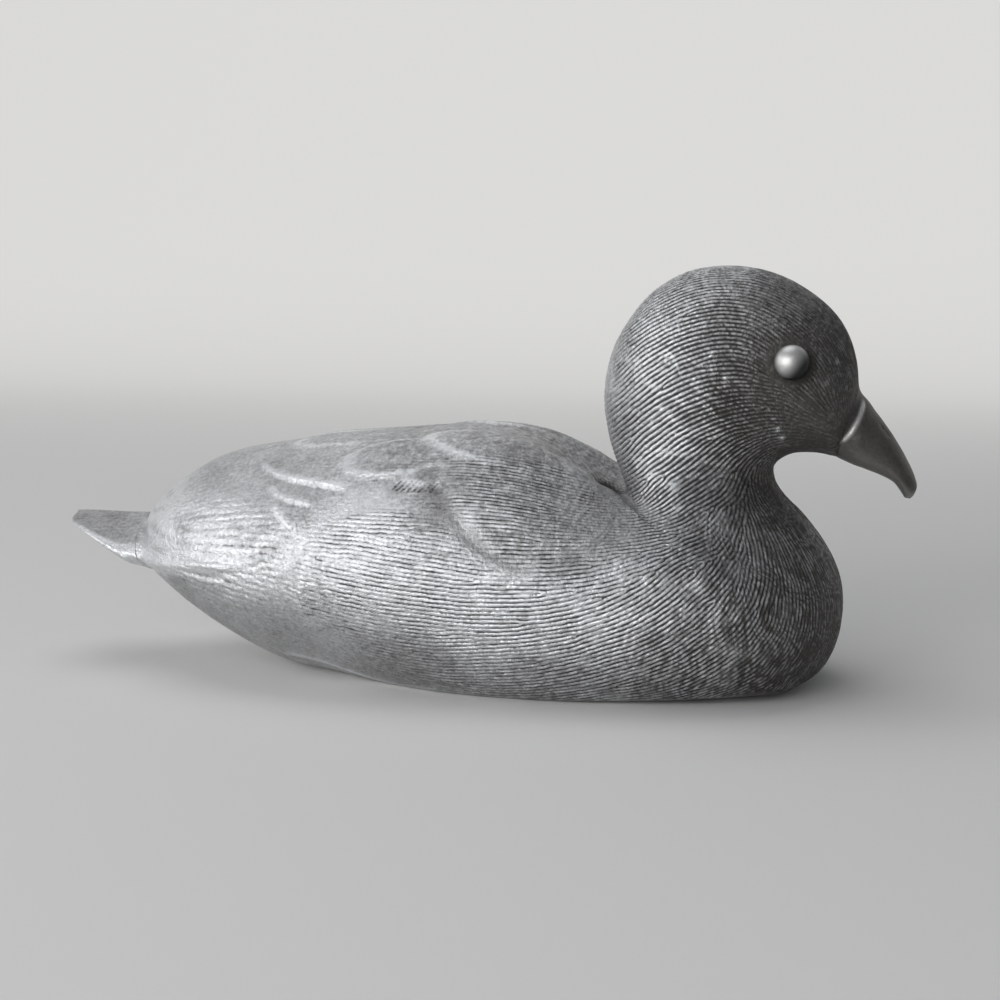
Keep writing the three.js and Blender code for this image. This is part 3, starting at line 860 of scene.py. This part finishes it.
def round_columns():
    """Places round a ring, counted in columns, with a pair close to each edge of the base opening"""
    right, left, end = BASE_EDGE, COLUMNS - BASE_EDGE, COLUMNS + BASE_EDGE
    fine = np.linspace(right, left, POINT_SUMS)
    from_back = np.abs(fine - COLUMNS / 2) / (COLUMNS / 2)
    climb = np.cumsum(BACK_SHARE + (1 - BACK_SHARE) * smoothstep(*BACK_TO_FLANK, from_back))
    return np.concatenate([
        np.interp(np.linspace(climb[0], climb[-1], SIDE_POINTS), climb, fine),
        np.linspace(left, left + 1 - HALF_PAIR, RIM_POINTS)[1:],
        np.linspace(left + 1 + HALF_PAIR, end - 1 - HALF_PAIR, BELLY_POINTS),
        np.linspace(end - 1 + HALF_PAIR, end, RIM_POINTS)[:-1],
    ])


OVER = round_columns()


# Relief of the feathers

def on_right_side(relief):
    """Let a function for places of the right side, given as a list, work on both sides alike"""

    def on_both_sides(places, normals, *others):
        mirror = np.where(places[..., 1:2] > 0, -1, 1) * (0, 1, 0) + (1, 0, 1)
        values = relief((places * mirror).reshape(-1, 3), (normals * mirror).reshape(-1, 3), *others)
        return np.reshape(values, np.shape(values)[:-1] + places.shape[:-1])

    return on_both_sides


def smooth_line(points):
    """More points along the smooth line through a few"""
    points = np.array(points, float)
    knots = np.concatenate([[0], np.cumsum(np.linalg.norm(np.diff(points, axis=0), axis=1))])
    return through(knots, points, np.linspace(0, knots[-1], LINE_PIECES * len(points)))


def near_line(line, places, normals, reach):
    """Which places lie in the box round a line with some reach on all sides, how far to the left of the
    line these lie, and where along it"""
    near = ((places > line.min(0) - reach) & (places < line.max(0) + reach)).all(1)
    return near, *beside_line(line, places[near], normals[near])


@on_right_side
def band(places, normals, points, left, width):
    """Soft band along a line, some way to its left"""
    soft = np.zeros(len(places))
    near, gap, _ = near_line(smooth_line(points), places, normals, abs(left) + BAND_REACH * width)
    soft[near] = bell(gap - left, width)
    return soft


def beside_line(line, places, normals):
    """How far places lie from a line, negative on the right of its run, and where along it"""
    best = np.full(len(places), np.inf)
    side = np.ones(len(places))
    share = np.zeros(len(places))
    for k in range(len(line) - 1):
        start, run = line[k], line[k + 1] - line[k]
        t = np.clip((places - start) @ run / (run @ run), 0, 1)
        away = places - start - t[:, None] * run
        away -= (away * normals).sum(1, keepdims=True) * normals
        gap = (away ** 2).sum(1)
        closer = gap < best
        best[closer] = gap[closer]
        left = (np.cross(normals, run) * away).sum(1)
        side[closer] = np.where(left >= 0, 1, -1)[closer]
        share[closer] = ((k + t) / (len(line) - 1))[closer]
    return np.sqrt(best) * side, share


@on_right_side
def edge_relief(places, normals):
    """Height of the feather edges over the smooth skin, the painted shadow in the hollows under them, and
    how bright their crests are worn"""
    height, hollow_and_shadow, worn = np.zeros((3, len(places)))
    for points, rise, reach, slope, shine in FEATHER_EDGES:
        near, gap, share = near_line(smooth_line(points), places, normals, EDGE_REACH * reach)
        ends = window(share, *EDGE_ENDS)
        over = smoothstep(-slope, slope, gap)
        before = np.minimum(gap, 0)
        lift = over * bell(np.maximum(gap, 0), reach, EDGE_POWER)
        dip = (1 - over) * bell(before, DIP_REACH * reach)
        height[near] += rise * ends * (lift - DIP_DEPTH * dip)
        # Painted shadow in the hollow under the edge
        hollow_and_shadow[near] += shine * ends * (1 - over) * bell(before + HOLLOW_PLACE, HOLLOW_WIDTH)
        worn[near] += shine * ends * bell(gap - slope, SHINE_WIDTH)
    return np.clip((height, hollow_and_shadow, worn), -EDGE_LIMIT, EDGE_LIMIT)


@on_right_side
def lobe_relief(places, _):
    """Height of the broad feathers of the back, the painted shade round their tips and their worn edges"""
    height, hollow_and_shadow, worn = np.zeros((3, len(places)))
    for root, tip, half, rise in LOBES:
        run = np.subtract(tip, root).astype(float)
        t = (places - root) @ run / (run @ run)
        aside = np.linalg.norm(places - root - t[:, None] * run, axis=1)
        round_end = np.maximum(t - LOBE_ROUND, 0) / (1 - LOBE_ROUND)
        gap = (np.sqrt((aside / half) ** 2 + round_end ** 2) - 1) * half
        grown = smoothstep(0, LOBE_GROWN, t)
        inside = 1 - smoothstep(-LOBE_SLOPE, LOBE_SLOPE, gap)
        height = np.maximum(height, rise * grown * inside)
        # Painted shade round the tip
        hollow_and_shadow = np.maximum(hollow_and_shadow, grown * bell(gap - LOBE_SLOPE, HOLLOW_WIDTH))
        worn = np.maximum(worn, grown * bell(gap + HOLLOW_PLACE, LOBE_SHINE))
    return height, hollow_and_shadow, worn


@on_right_side
def stroke_relief(places, normals):
    """Depth of the short slanted strokes, from none to all"""
    depth = np.zeros(len(places))
    for start, end in STROKES:
        line = np.array([CHASED.seen(*start), CHASED.seen(*end)])
        near, gap, _ = near_line(line, places, normals, LINE_REACH * STROKE_WIDTH)
        depth[near] = np.maximum(depth[near], bell(gap, STROKE_WIDTH))
    return depth


def spots(table, places):
    """Soft round spots, given as place, radius and height"""
    total = np.zeros(places.shape[:-1])
    for centre, radius, height in table:
        gap = ((places - centre) ** 2).sum(-1)
        total += height * np.exp(-gap / radius ** 2)
    return total


@on_right_side
def dents(places, _):
    """Depth of the dents"""
    return spots(DENTS, places)


def seam_groove(along, places):
    """Depth of the open part of the shoulder seam"""
    return bell(along - SEAM, SEAM_WIDTH)[:, None] * smoothstep(*SEAM_OPEN, places[..., 2])


def eye_distance(places, aside=(0, 0, 0)):
    """How far places lie from the nearer eye's middle, or from a place aside of it"""
    feet = [eye_axis(node)[0] + aside for node in ("right_eye", "left_eye")]
    return np.min([np.linalg.norm(places - foot, axis=-1) for foot in feet], axis=0)


def eye_axis(node):
    """Middle of an eye's foot and the way that it faces, from the two ends of its axis"""
    corners, triangles = SOLIDS[node]
    ends = corners[np.argsort(np.bincount(triangles.ravel()))[-2:]]
    shank, crown = ends[np.argsort(np.abs(ends[:, 1]))]
    facing = unit(crown - shank)
    heights = (corners - crown) @ facing
    widest = np.argmax(np.linalg.norm(corners - crown - heights[:, None] * facing, axis=1))
    return crown + heights[widest] * facing, facing


def free_share(places, normals, along):
    """How freely the skin may move: not at all underneath, nor where its rows are close together"""
    stretch = np.linalg.norm(np.gradient(places, along, axis=0), axis=-1)
    return (1 - smoothstep(*FACING_DOWN, -normals[..., 2])) * smoothstep(*CLOSE_ROWS, stretch)


@on_right_side
def ridge_relief(places, normals):
    """Height of the ridges, and how bright they are worn"""
    height, worn = np.zeros((2, len(places)))
    for points, rise, width in RIDGES:
        near, gap, share = near_line(smooth_line(points), places, normals, LINE_REACH * width)
        crest = bell(gap, width) * window(share, *RIDGE_ENDS)
        height[near] += rise * crest
        worn[near] = np.maximum(worn[near], RIDGE_SHINE * rise * crest)
    return height, worn


@on_right_side
def bill_lip(places, normals):
    """The thin lip between face and bill, from none to all"""
    gap, share = beside_line(smooth_line(BILL_LIP), places, np.zeros_like(normals))
    return bell(gap, LIP_WIDTH) * window(share, *LIP_ENDS)


def flat_tail(points, along):
    """Points of the tail with its top pressed to a level plate with a thick rounded rim, and the tone
    that this gives. Along the rims the plate runs on into the rump."""
    half = np.abs(points[..., 1]).max(1)[:, None]
    across = np.abs(points[..., 1]) / half
    outer = across ** OUTER_POWER
    edge = (points[..., 2] * outer).sum(1)[:, None] / outer.sum(1)[:, None]
    profile = (1 - PLATE_SLOPE * across) * np.sqrt(1 - across ** RIM_POWER)
    reach = smoothstep(-PLATE_FADE, 0, TAIL_JOINT + PLATE_REACH * across ** 2 - along[:, None])
    above = (points[..., 2] > edge) * reach
    pressed = points.copy()
    pressed[..., 2] += above * (edge + (TAIL_TOP - edge) * profile - points[..., 2])
    inside = 1 - smoothstep(TAIL_RIM - TAIL_SOFT, TAIL_RIM + TAIL_SOFT, across)
    tone = PLATE_TONE * above * inside + RIM_TONE * reach * (1 - inside)
    return pressed, tone


# The two castings

def soften(points):
    """Round the base edges a little, so that they catch the light"""
    soft = np.zeros(points.shape[1])
    for edge in (0, SIDE_POINTS - 1):
        gap = np.abs(np.arange(points.shape[1]) - edge)
        gap = np.minimum(gap, points.shape[1] - gap)
        soft = np.maximum(soft, bell(gap, RIM_SOFTNESS))
    for _ in range(RIM_PASSES):
        between = (np.roll(points, 1, 1) + np.roll(points, -1, 1)) / 2
        points = points + 0.5 * soft[:, None] * (between - points)
    return points


def chased_lines(points, normals, along):
    """The chased lines at the points of a mesh: their rise, strength and depth, how their crests are
    worn, and the unevenness of the hand that cut them"""
    rise, strength = from_side(CHASING, points)
    strength = line_strength(points, normals, strength)
    strength *= smoothstep(0, BILL_LINES, BILL_JOINT - along)[:, None]
    hand = 1 + streaks(points, rise, HAND_STREAKS) + uneven(points, HAND_WAVES)
    phase = np.angle(CHASED.wave_at(along, OVER, points)) + uneven(points, SHAKE_WAVES)
    on_body = 1 - smoothstep(*NARROW_LINES, points[..., 0])
    narrow = WIDE_GROOVE + (NARROW_GROOVE - WIDE_GROOVE) * on_body
    cut = (0.5 - 0.5 * np.cos(phase)) ** narrow * np.clip(hand, *HAND_RANGE) * strength ** DEPTH_POWER
    cut *= 1 + DEEPER_HEAD * smoothstep(*HOOP_FOOT, points[..., 2])
    broken = np.clip(0.5 + streaks(points, rise, CREST_STREAKS), 0, 1)
    crest = (0.5 + 0.5 * np.cos(phase)) * strength * broken
    return rise, strength, cut, crest, hand


def feathers(points, normals, along, hand):
    """Height of the feathers, ridges, beads and dents over the smooth skin, how dark their hollows are,
    from patina and from painted shadow, and how bright their crests are worn"""
    edges, edge_shadow, edge_worn = edge_relief(points, normals)
    lobes, lobe_shadow, lobe_worn = lobe_relief(points, normals)
    ridge, ridge_worn = ridge_relief(points, normals)
    stroke = stroke_relief(points, normals)
    seam = seam_groove(along, points)
    beads = spots(BEAD_SPOTS, points)
    pits = dents(points, normals)
    socket = bell(eye_distance(points), SOCKET_RADIUS, SOCKET_POWER)
    # Painted shadow of the bead on the lower right of its socket
    shade = bell(eye_distance(points, EYE_SHADE), SOCKET_RADIUS, SOCKET_POWER)
    height = edges + lobes + ridge + beads
    height -= STROKE_DEPTH * stroke + SEAM_DEPTH * seam + SOCKET_DEPTH * socket + pits
    # Patina in the strokes and seam; painted shadow under the edges, round the broad feathers, beside the
    # eye and in the pits
    hollow_and_shadow = SHADE["edge"] * edge_shadow + SHADE["lobe"] * lobe_shadow + SHADE["seam"] * seam + shade
    hollow_and_shadow += SHADE["stroke"] * stroke + SHADE["pit"] * pits
    worn = edge_worn + WEAR["lobe"] * lobe_worn * np.clip(hand, 0, 2)
    worn += WEAR["bead"] * beads + WEAR["ridge"] * ridge_worn
    return height, hollow_and_shadow, worn


def back_mottle(points, normals):
    """Fine mottling of the back"""
    x = points[..., 0]
    back = smoothstep(*BACK_FACING, normals[..., 2]) * (1 - smoothstep(*BACK_END, x))
    return back * smoothstep(*BACK_START, x) * uneven(points, MOTTLE_WAVES)


def patina_and_shade(points, normals, rise):
    """Patina and painted shade of a casting, painted shade in the valley before the wing, rump streaks"""
    tone = from_side(PATINA_AND_SHADE, points)[0]
    # Painted shade in the valley before the wing
    tone += VALLEY_SHADE * band(points, normals, *WING_VALLEY)
    x, _, z = np.moveaxis(points, -1, 0)
    rump = (1 - smoothstep(*RUMP_END, x)) * window(z, *RUMP_BAND)
    return tone + rump * streaks(points, rise, RUMP_STREAKS)


def casting(name, node, start, end, steps):
    """A casting's skin with its chasing and relief cut into it"""
    lips = [place + side * JOINT_LINE for place in BASE_ENDS for side in (-1, 1)]
    along = rows_between(start, end, *steps)
    along = np.sort(np.concatenate([along, [lip for lip in lips if start < lip < end]]))
    points, plate = flat_tail(soften(DUCK.grid(along, OVER)), along)
    normals = normals_of(points)
    rise, strength, cut, crest, hand = chased_lines(points, normals, along)
    height, hollow_and_shadow, worn = feathers(points, normals, along, hand)
    mottle = back_mottle(points, normals)
    lip = bill_lip(points, normals)
    height += uneven(points, CASTING_WAVES) + MOTTLE_HEIGHT * mottle - GROOVE_DEPTH * cut
    height = height * free_share(points, normals, along) + LIP_HEIGHT * lip
    points = points + normals * height[..., None]
    points[..., 2] = np.maximum(points[..., 2], 0)
    open_below = (along > BASE_ENDS[0]) & (along < BASE_ENDS[1])
    in_belly = (OVER > COLUMNS - BASE_EDGE + 1) & (OVER < COLUMNS + BASE_EDGE - 1)
    points[np.ix_(open_below, in_belly)] += (0, 0, BASE_RECESS)
    # Painted shadow on the face behind the lip
    hollow_and_shadow += SHADE["lip"] * band(points, normals, BILL_LIP, *LIP_SHADOW)
    # Patina, with painted shade on the face, the breast, the lower parts and in the valley before the wing
    tone = patina_and_shade(points, normals, rise)
    worn += WEAR["lip"] * lip + (1 + tone) * (WEAR["crest"] * crest - WEAR["line"] * strength)
    values = {
        "groove_and_shadow": np.clip(cut + hollow_and_shadow, 0, 1),
        "patina_and_shade": np.clip(tone + plate - worn - MOTTLE_TONE * mottle, 0, 1),
    }
    make_piece(name, points, values, CAST, node)


# Tail, bill and eyes

def even_rows(start, end):
    """Places of the rows of an end piece, all the same way apart"""
    return np.linspace(start, end, int((end - start) / END_STEP) + 1)


def tail_piece():
    """The tail: a flat plate with a thick rim"""
    along = even_rows(DUCK.places[1] * (1 - TIP_SHARE), TAIL_JOINT - JOINT_LINE)
    points, plate = flat_tail(DUCK.grid(along, OVER), along)
    normals = normals_of(points)
    ridge, worn = ridge_relief(points, normals)
    height = (ridge + uneven(points, CASTING_WAVES)) * free_share(points, normals, along)
    points = points + normals * height[..., None]
    # Patina with painted shade, the tones of plate and rim, and the wear of the ridges
    tone = from_side(PATINA_AND_SHADE, points)[0] + plate - WEAR["ridge"] * worn
    values = {"groove_and_shadow": np.zeros(points.shape[:2]), "patina_and_shade": np.clip(tone, 0, 1)}
    make_piece("tail_casting", points, values, CAST, "tail_plate")


def bill_piece():
    """The bill, with a thin lip round its root, nostrils and a painted highlight on its underside"""
    end = DUCK.places[-2] * (1 - TIP_SHARE) + DUCK.places[-1] * TIP_SHARE
    along = even_rows(BILL_JOINT + JOINT_LINE, end)
    points = DUCK.grid(along, OVER)
    normals = normals_of(points)
    lip = bill_lip(points, normals)
    pits = dents(points, normals)
    rough = 1 - BILL_SMOOTH * smoothstep(0, BILL_PLAIN, along - BILL_JOINT)[:, None]
    height = LIP_HEIGHT * lip - pits + rough * uneven(points, CASTING_WAVES)
    points = points + normals * height[..., None]
    # Painted highlight on the underside of the bill, added to the wear of the lip
    worn = WEAR["lip"] * lip + WEAR["bill"] * smoothstep(*BILL_UNDER_HIGHLIGHT, -normals[..., 2])
    # Painted shade in the nostrils and painted shadow behind the lip
    hollow_and_shadow = SHADE["nostril"] * pits + SHADE["lip"] * band(points, normals, BILL_LIP, *LIP_SHADOW)
    values = {"groove_and_shadow": np.clip(hollow_and_shadow, 0, 1), "patina_and_shade": np.clip(BILL_TONE - worn, 0, 1)}
    make_piece("bill_casting", points, values, DARK, "bill")


def eye_piece(name, node):
    """An eye: a smooth bead sunk a little into its socket, with painted shade at its foot and lower right
    """
    foot, facing = eye_axis(node)
    corners, _ = SOLIDS[node]
    radius = np.linalg.norm(np.cross(corners - foot, facing), axis=1).max()
    aside = unit(np.cross(facing, (0, 0, 1)))
    upward = np.cross(aside, facing)
    turn = np.linspace(0, 2 * math.pi, EYE_SIDES, endpoint=False)
    spoke = np.cos(turn)[:, None] * aside + np.sin(turn)[:, None] * upward
    rise = np.linspace(0, math.pi / 2, EYE_RINGS)[:-1]
    profile = [(radius * EYE_FOOT, -EYE_SUNK)]
    profile += [(radius * math.cos(a), EYE_PROUD * math.sin(a)) for a in rise]
    points = np.array([foot + width * spoke + height * facing for width, height in profile])
    crown = np.array([height for _, height in profile]) / EYE_PROUD
    # Painted shade on the bead: darker at its foot and towards its lower right side
    low = ((points - foot) @ unit(np.array(EYE_SHADE))) / radius
    tone = EYE_RIM_SHADE * (1 - smoothstep(*EYE_RIM, crown))[:, None] + smoothstep(*EYE_SHADED_SIDE, low)
    values = {"groove_and_shadow": np.zeros(tone.shape), "patina_and_shade": np.clip(tone, 0, 1)}
    make_piece(name, points, values, POLISHED, node)


# Materials

# Noises of the pewter: spots in a metre, detail and roughness. Then how far they shift its tone, how far
# the crumbs shift the edges of its grooves, and the depth of its bump with the shares of grain and crumbs.
CLOUDS = (150, 4, 0.6)
SPECKS = (650, 4, 0.7)
CRUMBS = (1100, 3, 0.6)
GRAIN = (2400, 3, 0.6)
CLOUD_SHIFT = 2
SPECK_SHIFT = 2.4
CRUMB_SHIFT = 3
GROOVE_SHIFT = 0.7
BUMP_DEPTH = 0.0005
GRAIN_SHARE = 0.4
CRUMB_SHARE = 1.2

# Aged pewter: over which patina and painted shade its marks fade and from which to which share, over
# which depth a groove or painted shadow turns dark and how far, the least metallic share, and the colour
# in the grooves and painted shadows
MARKS_FADE = (0.3, 1, 1, 0.35)
GROOVE_AND_SHADOW_DARK = (0.25, 0.85, 0, 0.92)
LEAST_METAL = 0.6
BLACK = (0.03, 0.028, 0.026, 1)

# Felt: its fibres as a noise and their two colours, its roughness, and strength and depth of its bump
FIBRES = (1800, 6, 0.7)
FELT_COLOURS = ((0.006, 0.006, 0.006, 1), (0.03, 0.03, 0.032, 1))
FELT_ROUGHNESS = 0.95
FELT_BUMP = (0.8, 0.0003)


class Nodes:
    """The nodes of a new material"""

    def __init__(self, name):
        self.material = bpy.data.materials.new(name)
        self.material.use_nodes = True
        self.tree = self.material.node_tree
        self.shader = self.tree.nodes["Principled BSDF"]

    def make(self, kind, inputs=None, **settings):
        made = self.tree.nodes.new(kind)
        for key, value in settings.items():
            setattr(made, key, value)
        self.fill(made, inputs or {})
        return made

    def fill(self, node, inputs):
        for key, value in inputs.items():
            self.put(value, node.inputs[key])

    def put(self, value, socket):
        if isinstance(value, bpy.types.NodeSocket):
            self.tree.links.new(value, socket)
        else:
            socket.default_value = value

    def maths(self, operation, a, b, clamp=False):
        made = self.make("ShaderNodeMath", {0: a, 1: b}, operation=operation, use_clamp=clamp)
        return made.outputs[0]

    def noise(self, scale, detail, roughness):
        place = self.make("ShaderNodeTexCoord").outputs["Object"]
        inputs = {"Vector": place, "Scale": scale, "Detail": detail, "Roughness": roughness}
        return self.make("ShaderNodeTexNoise", inputs).outputs["Fac"]

    def swing(self, value, height):
        return self.maths("MULTIPLY", self.maths("SUBTRACT", value, 0.5), height)

    def spread(self, value, low, high, to_low, to_high, soft=False):
        inputs = {"Value": value, "From Min": low, "From Max": high, "To Min": to_low, "To Max": to_high}
        kind = "SMOOTHSTEP" if soft else "LINEAR"
        return self.make("ShaderNodeMapRange", inputs, interpolation_type=kind).outputs["Result"]

    def mix(self, share, a, b):
        made = self.make("ShaderNodeMix", {"Factor": share}, data_type="RGBA")
        colours = [s for s in made.inputs if s.type == "RGBA"]
        self.put(a, colours[0])
        self.put(b, colours[1])
        return [s for s in made.outputs if s.type == "RGBA"][0]

    def bump(self, height, strength, depth):
        inputs = {"Height": height, "Strength": strength, "Distance": depth}
        return self.make("ShaderNodeBump", inputs).outputs["Normal"]

    def value(self, name):
        return self.make("ShaderNodeAttribute", attribute_name=name).outputs["Fac"]


def pewter(name, bright, aged, shine, dull, mottle, relief):
    """Aged pewter: bright where it is worn or painted as lit, grey where it is aged or in painted shade,
    and black in its grooves and painted shadows
    """
    nodes = Nodes(name)
    crumb = nodes.noise(*CRUMBS)
    patina_and_shade = nodes.value("patina_and_shade")
    clouds = nodes.swing(nodes.noise(*CLOUDS), CLOUD_SHIFT * mottle)
    specks = nodes.swing(nodes.noise(*SPECKS), SPECK_SHIFT * mottle)
    crumbs = nodes.swing(crumb, CRUMB_SHIFT * mottle)
    marks = nodes.maths("ADD", nodes.maths("ADD", clouds, specks), crumbs)
    marks = nodes.maths("MULTIPLY", marks, nodes.spread(patina_and_shade, *MARKS_FADE))
    tone = nodes.maths("ADD", patina_and_shade, marks, clamp=True)
    groove_and_shadow = nodes.maths("ADD", nodes.value("groove_and_shadow"), nodes.maths("MULTIPLY", crumbs, GROOVE_SHIFT))
    groove_and_shadow = nodes.spread(groove_and_shadow, *GROOVE_AND_SHADOW_DARK, soft=True)
    dullness = nodes.maths("MAXIMUM", tone, groove_and_shadow)
    grain = nodes.maths("MULTIPLY", nodes.noise(*GRAIN), GRAIN_SHARE)
    rough = nodes.maths("ADD", grain, nodes.maths("MULTIPLY", crumb, CRUMB_SHARE))
    nodes.fill(nodes.shader, {
        "Base Color": nodes.mix(groove_and_shadow, nodes.mix(tone, (*bright, 1), (*aged, 1)), BLACK),
        "Roughness": nodes.spread(dullness, 0, 1, shine, dull),
        "Metallic": nodes.spread(dullness, 0, 1, 1, LEAST_METAL),
        "Normal": nodes.bump(rough, relief, BUMP_DEPTH),
    })
    return nodes.material


def felt():
    """Black felt: dull and fuzzy"""
    nodes = Nodes("black_felt_pad")
    fibre = nodes.noise(*FIBRES)
    nodes.fill(nodes.shader, {
        "Base Color": nodes.mix(fibre, *FELT_COLOURS),
        "Roughness": FELT_ROUGHNESS,
        "Normal": nodes.bump(fibre, *FELT_BUMP),
    })
    return nodes.material


# Looks of the pewter: bright colour, and aged colour that also stands for painted shade, roughness where
# it shines and where it is dull, how strong its marks are, and the strength of its bump
CAST = pewter("cast_pewter_aged_and_shaded", (0.78, 0.79, 0.81), (0.075, 0.07, 0.065), 0.37, 0.62, 0.3, 0.7)
DARK = pewter("dark_pewter_aged", (0.7, 0.69, 0.67), (0.05, 0.046, 0.042), 0.42, 0.52, 0.07, 0.3)
POLISHED = pewter("polished_pewter_painted_shade", (0.6, 0.6, 0.59), (0.02, 0.02, 0.02), 0.48, 0.5, 0.03, 0.04)
SHEET = pewter("sheet_pewter_plain", (0.5, 0.5, 0.51), (0.2, 0.2, 0.2), 0.4, 0.55, 0.15, 0.4)
FELT = felt()


# The duck

CHASED = Chasing()
BEAD_SPOTS = [(CHASED.seen(x, z), radius, height) for (x, z), radius, height in BEADS]
casting("body_casting", "body_shell", TAIL_JOINT + JOINT_LINE, SEAM - JOINT_LINE, BODY_STEPS)
casting("head_casting", "head_shell", SEAM + JOINT_LINE, BILL_JOINT - JOINT_LINE, HEAD_STEPS)
tail_piece()
bill_piece()
eye_piece("right_bead", "right_eye")
eye_piece("left_bead", "left_eye")

for name, material in (("base_plate", SHEET), ("base_felt", FELT)):
    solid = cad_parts[name].data
    solid.materials.clear()
    solid.materials.append(material)


# Stage: a pale sweep of floor and backdrop, soft lamps and the camera

# Paper: its colour and roughness, and how far behind the duck its glow sets in and is full. Then the size
# of the sweep in metres: where it starts and ends, its height, the radius of its bend and half its width.
PAPER_COLOUR = (0.8, 0.795, 0.78, 1)
PAPER_ROUGHNESS = 0.9
PAPER_GLOW = (0.1, 1.3, 0, 0.8)
SWEEP_START = -3
SWEEP_END = 1.6
SWEEP_RISE = 2.2
SWEEP_BEND = 0.7
SWEEP_HALF = 4
BEND_STEPS = 24


def paper():
    """Pale paper whose far part shows as an even pale background"""
    nodes = Nodes("pale_paper")
    nodes.fill(nodes.shader, {"Base Color": PAPER_COLOUR, "Roughness": PAPER_ROUGHNESS})
    ray = nodes.make("ShaderNodeLightPath").outputs
    looks = nodes.maths("ADD", ray["Is Camera Ray"], ray["Is Glossy Ray"])
    looks = nodes.maths("ADD", looks, ray["Is Transmission Ray"], clamp=True)
    place = nodes.make("ShaderNodeTexCoord").outputs["Object"]
    depth = nodes.make("ShaderNodeSeparateXYZ", {"Vector": place}).outputs["Y"]
    share = nodes.maths("MULTIPLY", looks, nodes.spread(depth, *PAPER_GLOW, soft=True))
    glow = nodes.make("ShaderNodeEmission", {"Color": PAPER_COLOUR, "Strength": 1})
    both = nodes.make("ShaderNodeMixShader", {0: share, 1: nodes.shader.outputs[0], 2: glow.outputs[0]})
    nodes.put(both.outputs[0], nodes.tree.nodes["Material Output"].inputs["Surface"])
    return nodes.material


def sweep():
    """Floor that curves up into a backdrop"""
    flat = SWEEP_END - SWEEP_BEND
    profile = [(SWEEP_START, 0), (flat, 0)]
    for k in range(1, BEND_STEPS + 1):
        turn = math.pi / 2 * k / BEND_STEPS
        profile.append((flat + SWEEP_BEND * math.sin(turn), SWEEP_BEND - SWEEP_BEND * math.cos(turn)))
    profile.append((SWEEP_END, SWEEP_RISE))
    points = [(x, y, z) for y, z in profile for x in (-SWEEP_HALF, SWEEP_HALF)]
    faces = [(2 * k, 2 * k + 1, 2 * k + 3, 2 * k + 2) for k in range(len(profile) - 1)]
    mesh = bpy.data.meshes.new("studio_sweep")
    mesh.from_pydata(points, [], faces)
    mesh.shade_smooth()
    mesh.materials.append(paper())
    floor = placed("studio_sweep", mesh)


# Lamps as place, size and power, the place that they face, and the colour and strength of the sky
LAMPS = {
    "key": ((-0.74, -1.02, 0.34), 0.85, 6.5),
    "front": ((-0.2, -1.25, 0.4), 0.8, 4),
    "left": ((-1.1, -0.2, 0.45), 0.7, 2.4),
    "fill": ((0.9, -0.6, 0.7), 0.8, 0.3),
    "top": ((-0.2, 0.2, 1.2), 0.9, 3.5),
}
LAMPS_FACE = Vector((0, 0, 0.05))
SKY = {"Color": (0.9, 0.95, 1, 1), "Strength": 0.2}


def lamp(name, place, size, power):
    """A square soft box that faces the duck"""
    light = bpy.data.lights.new(name, "AREA")
    light.shape = "SQUARE"
    light.size = size
    light.energy = power
    holder = placed(name, light)
    holder.location = place
    holder.rotation_euler = (LAMPS_FACE - Vector(place)).to_track_quat("-Z", "Y").to_euler()


sweep()
for name, (place, size, power) in LAMPS.items():
    lamp(name, place, size, power)
world = bpy.data.worlds.new("studio")
world.use_nodes = True
for key, value in SKY.items():
    world.node_tree.nodes["Background"].inputs[key].default_value = value
bpy.context.scene.world = world

lens = bpy.data.cameras.new("view")
lens.lens = CAMERA_LENS
lens.sensor_width = 36
camera = placed("view", lens)
camera.location = CAMERA_AT
camera.rotation_euler = (CAMERA_TILT, 0, CAMERA_TURN)
bpy.context.scene.camera = camera
bpy.context.scene.view_settings.view_transform = "Standard"
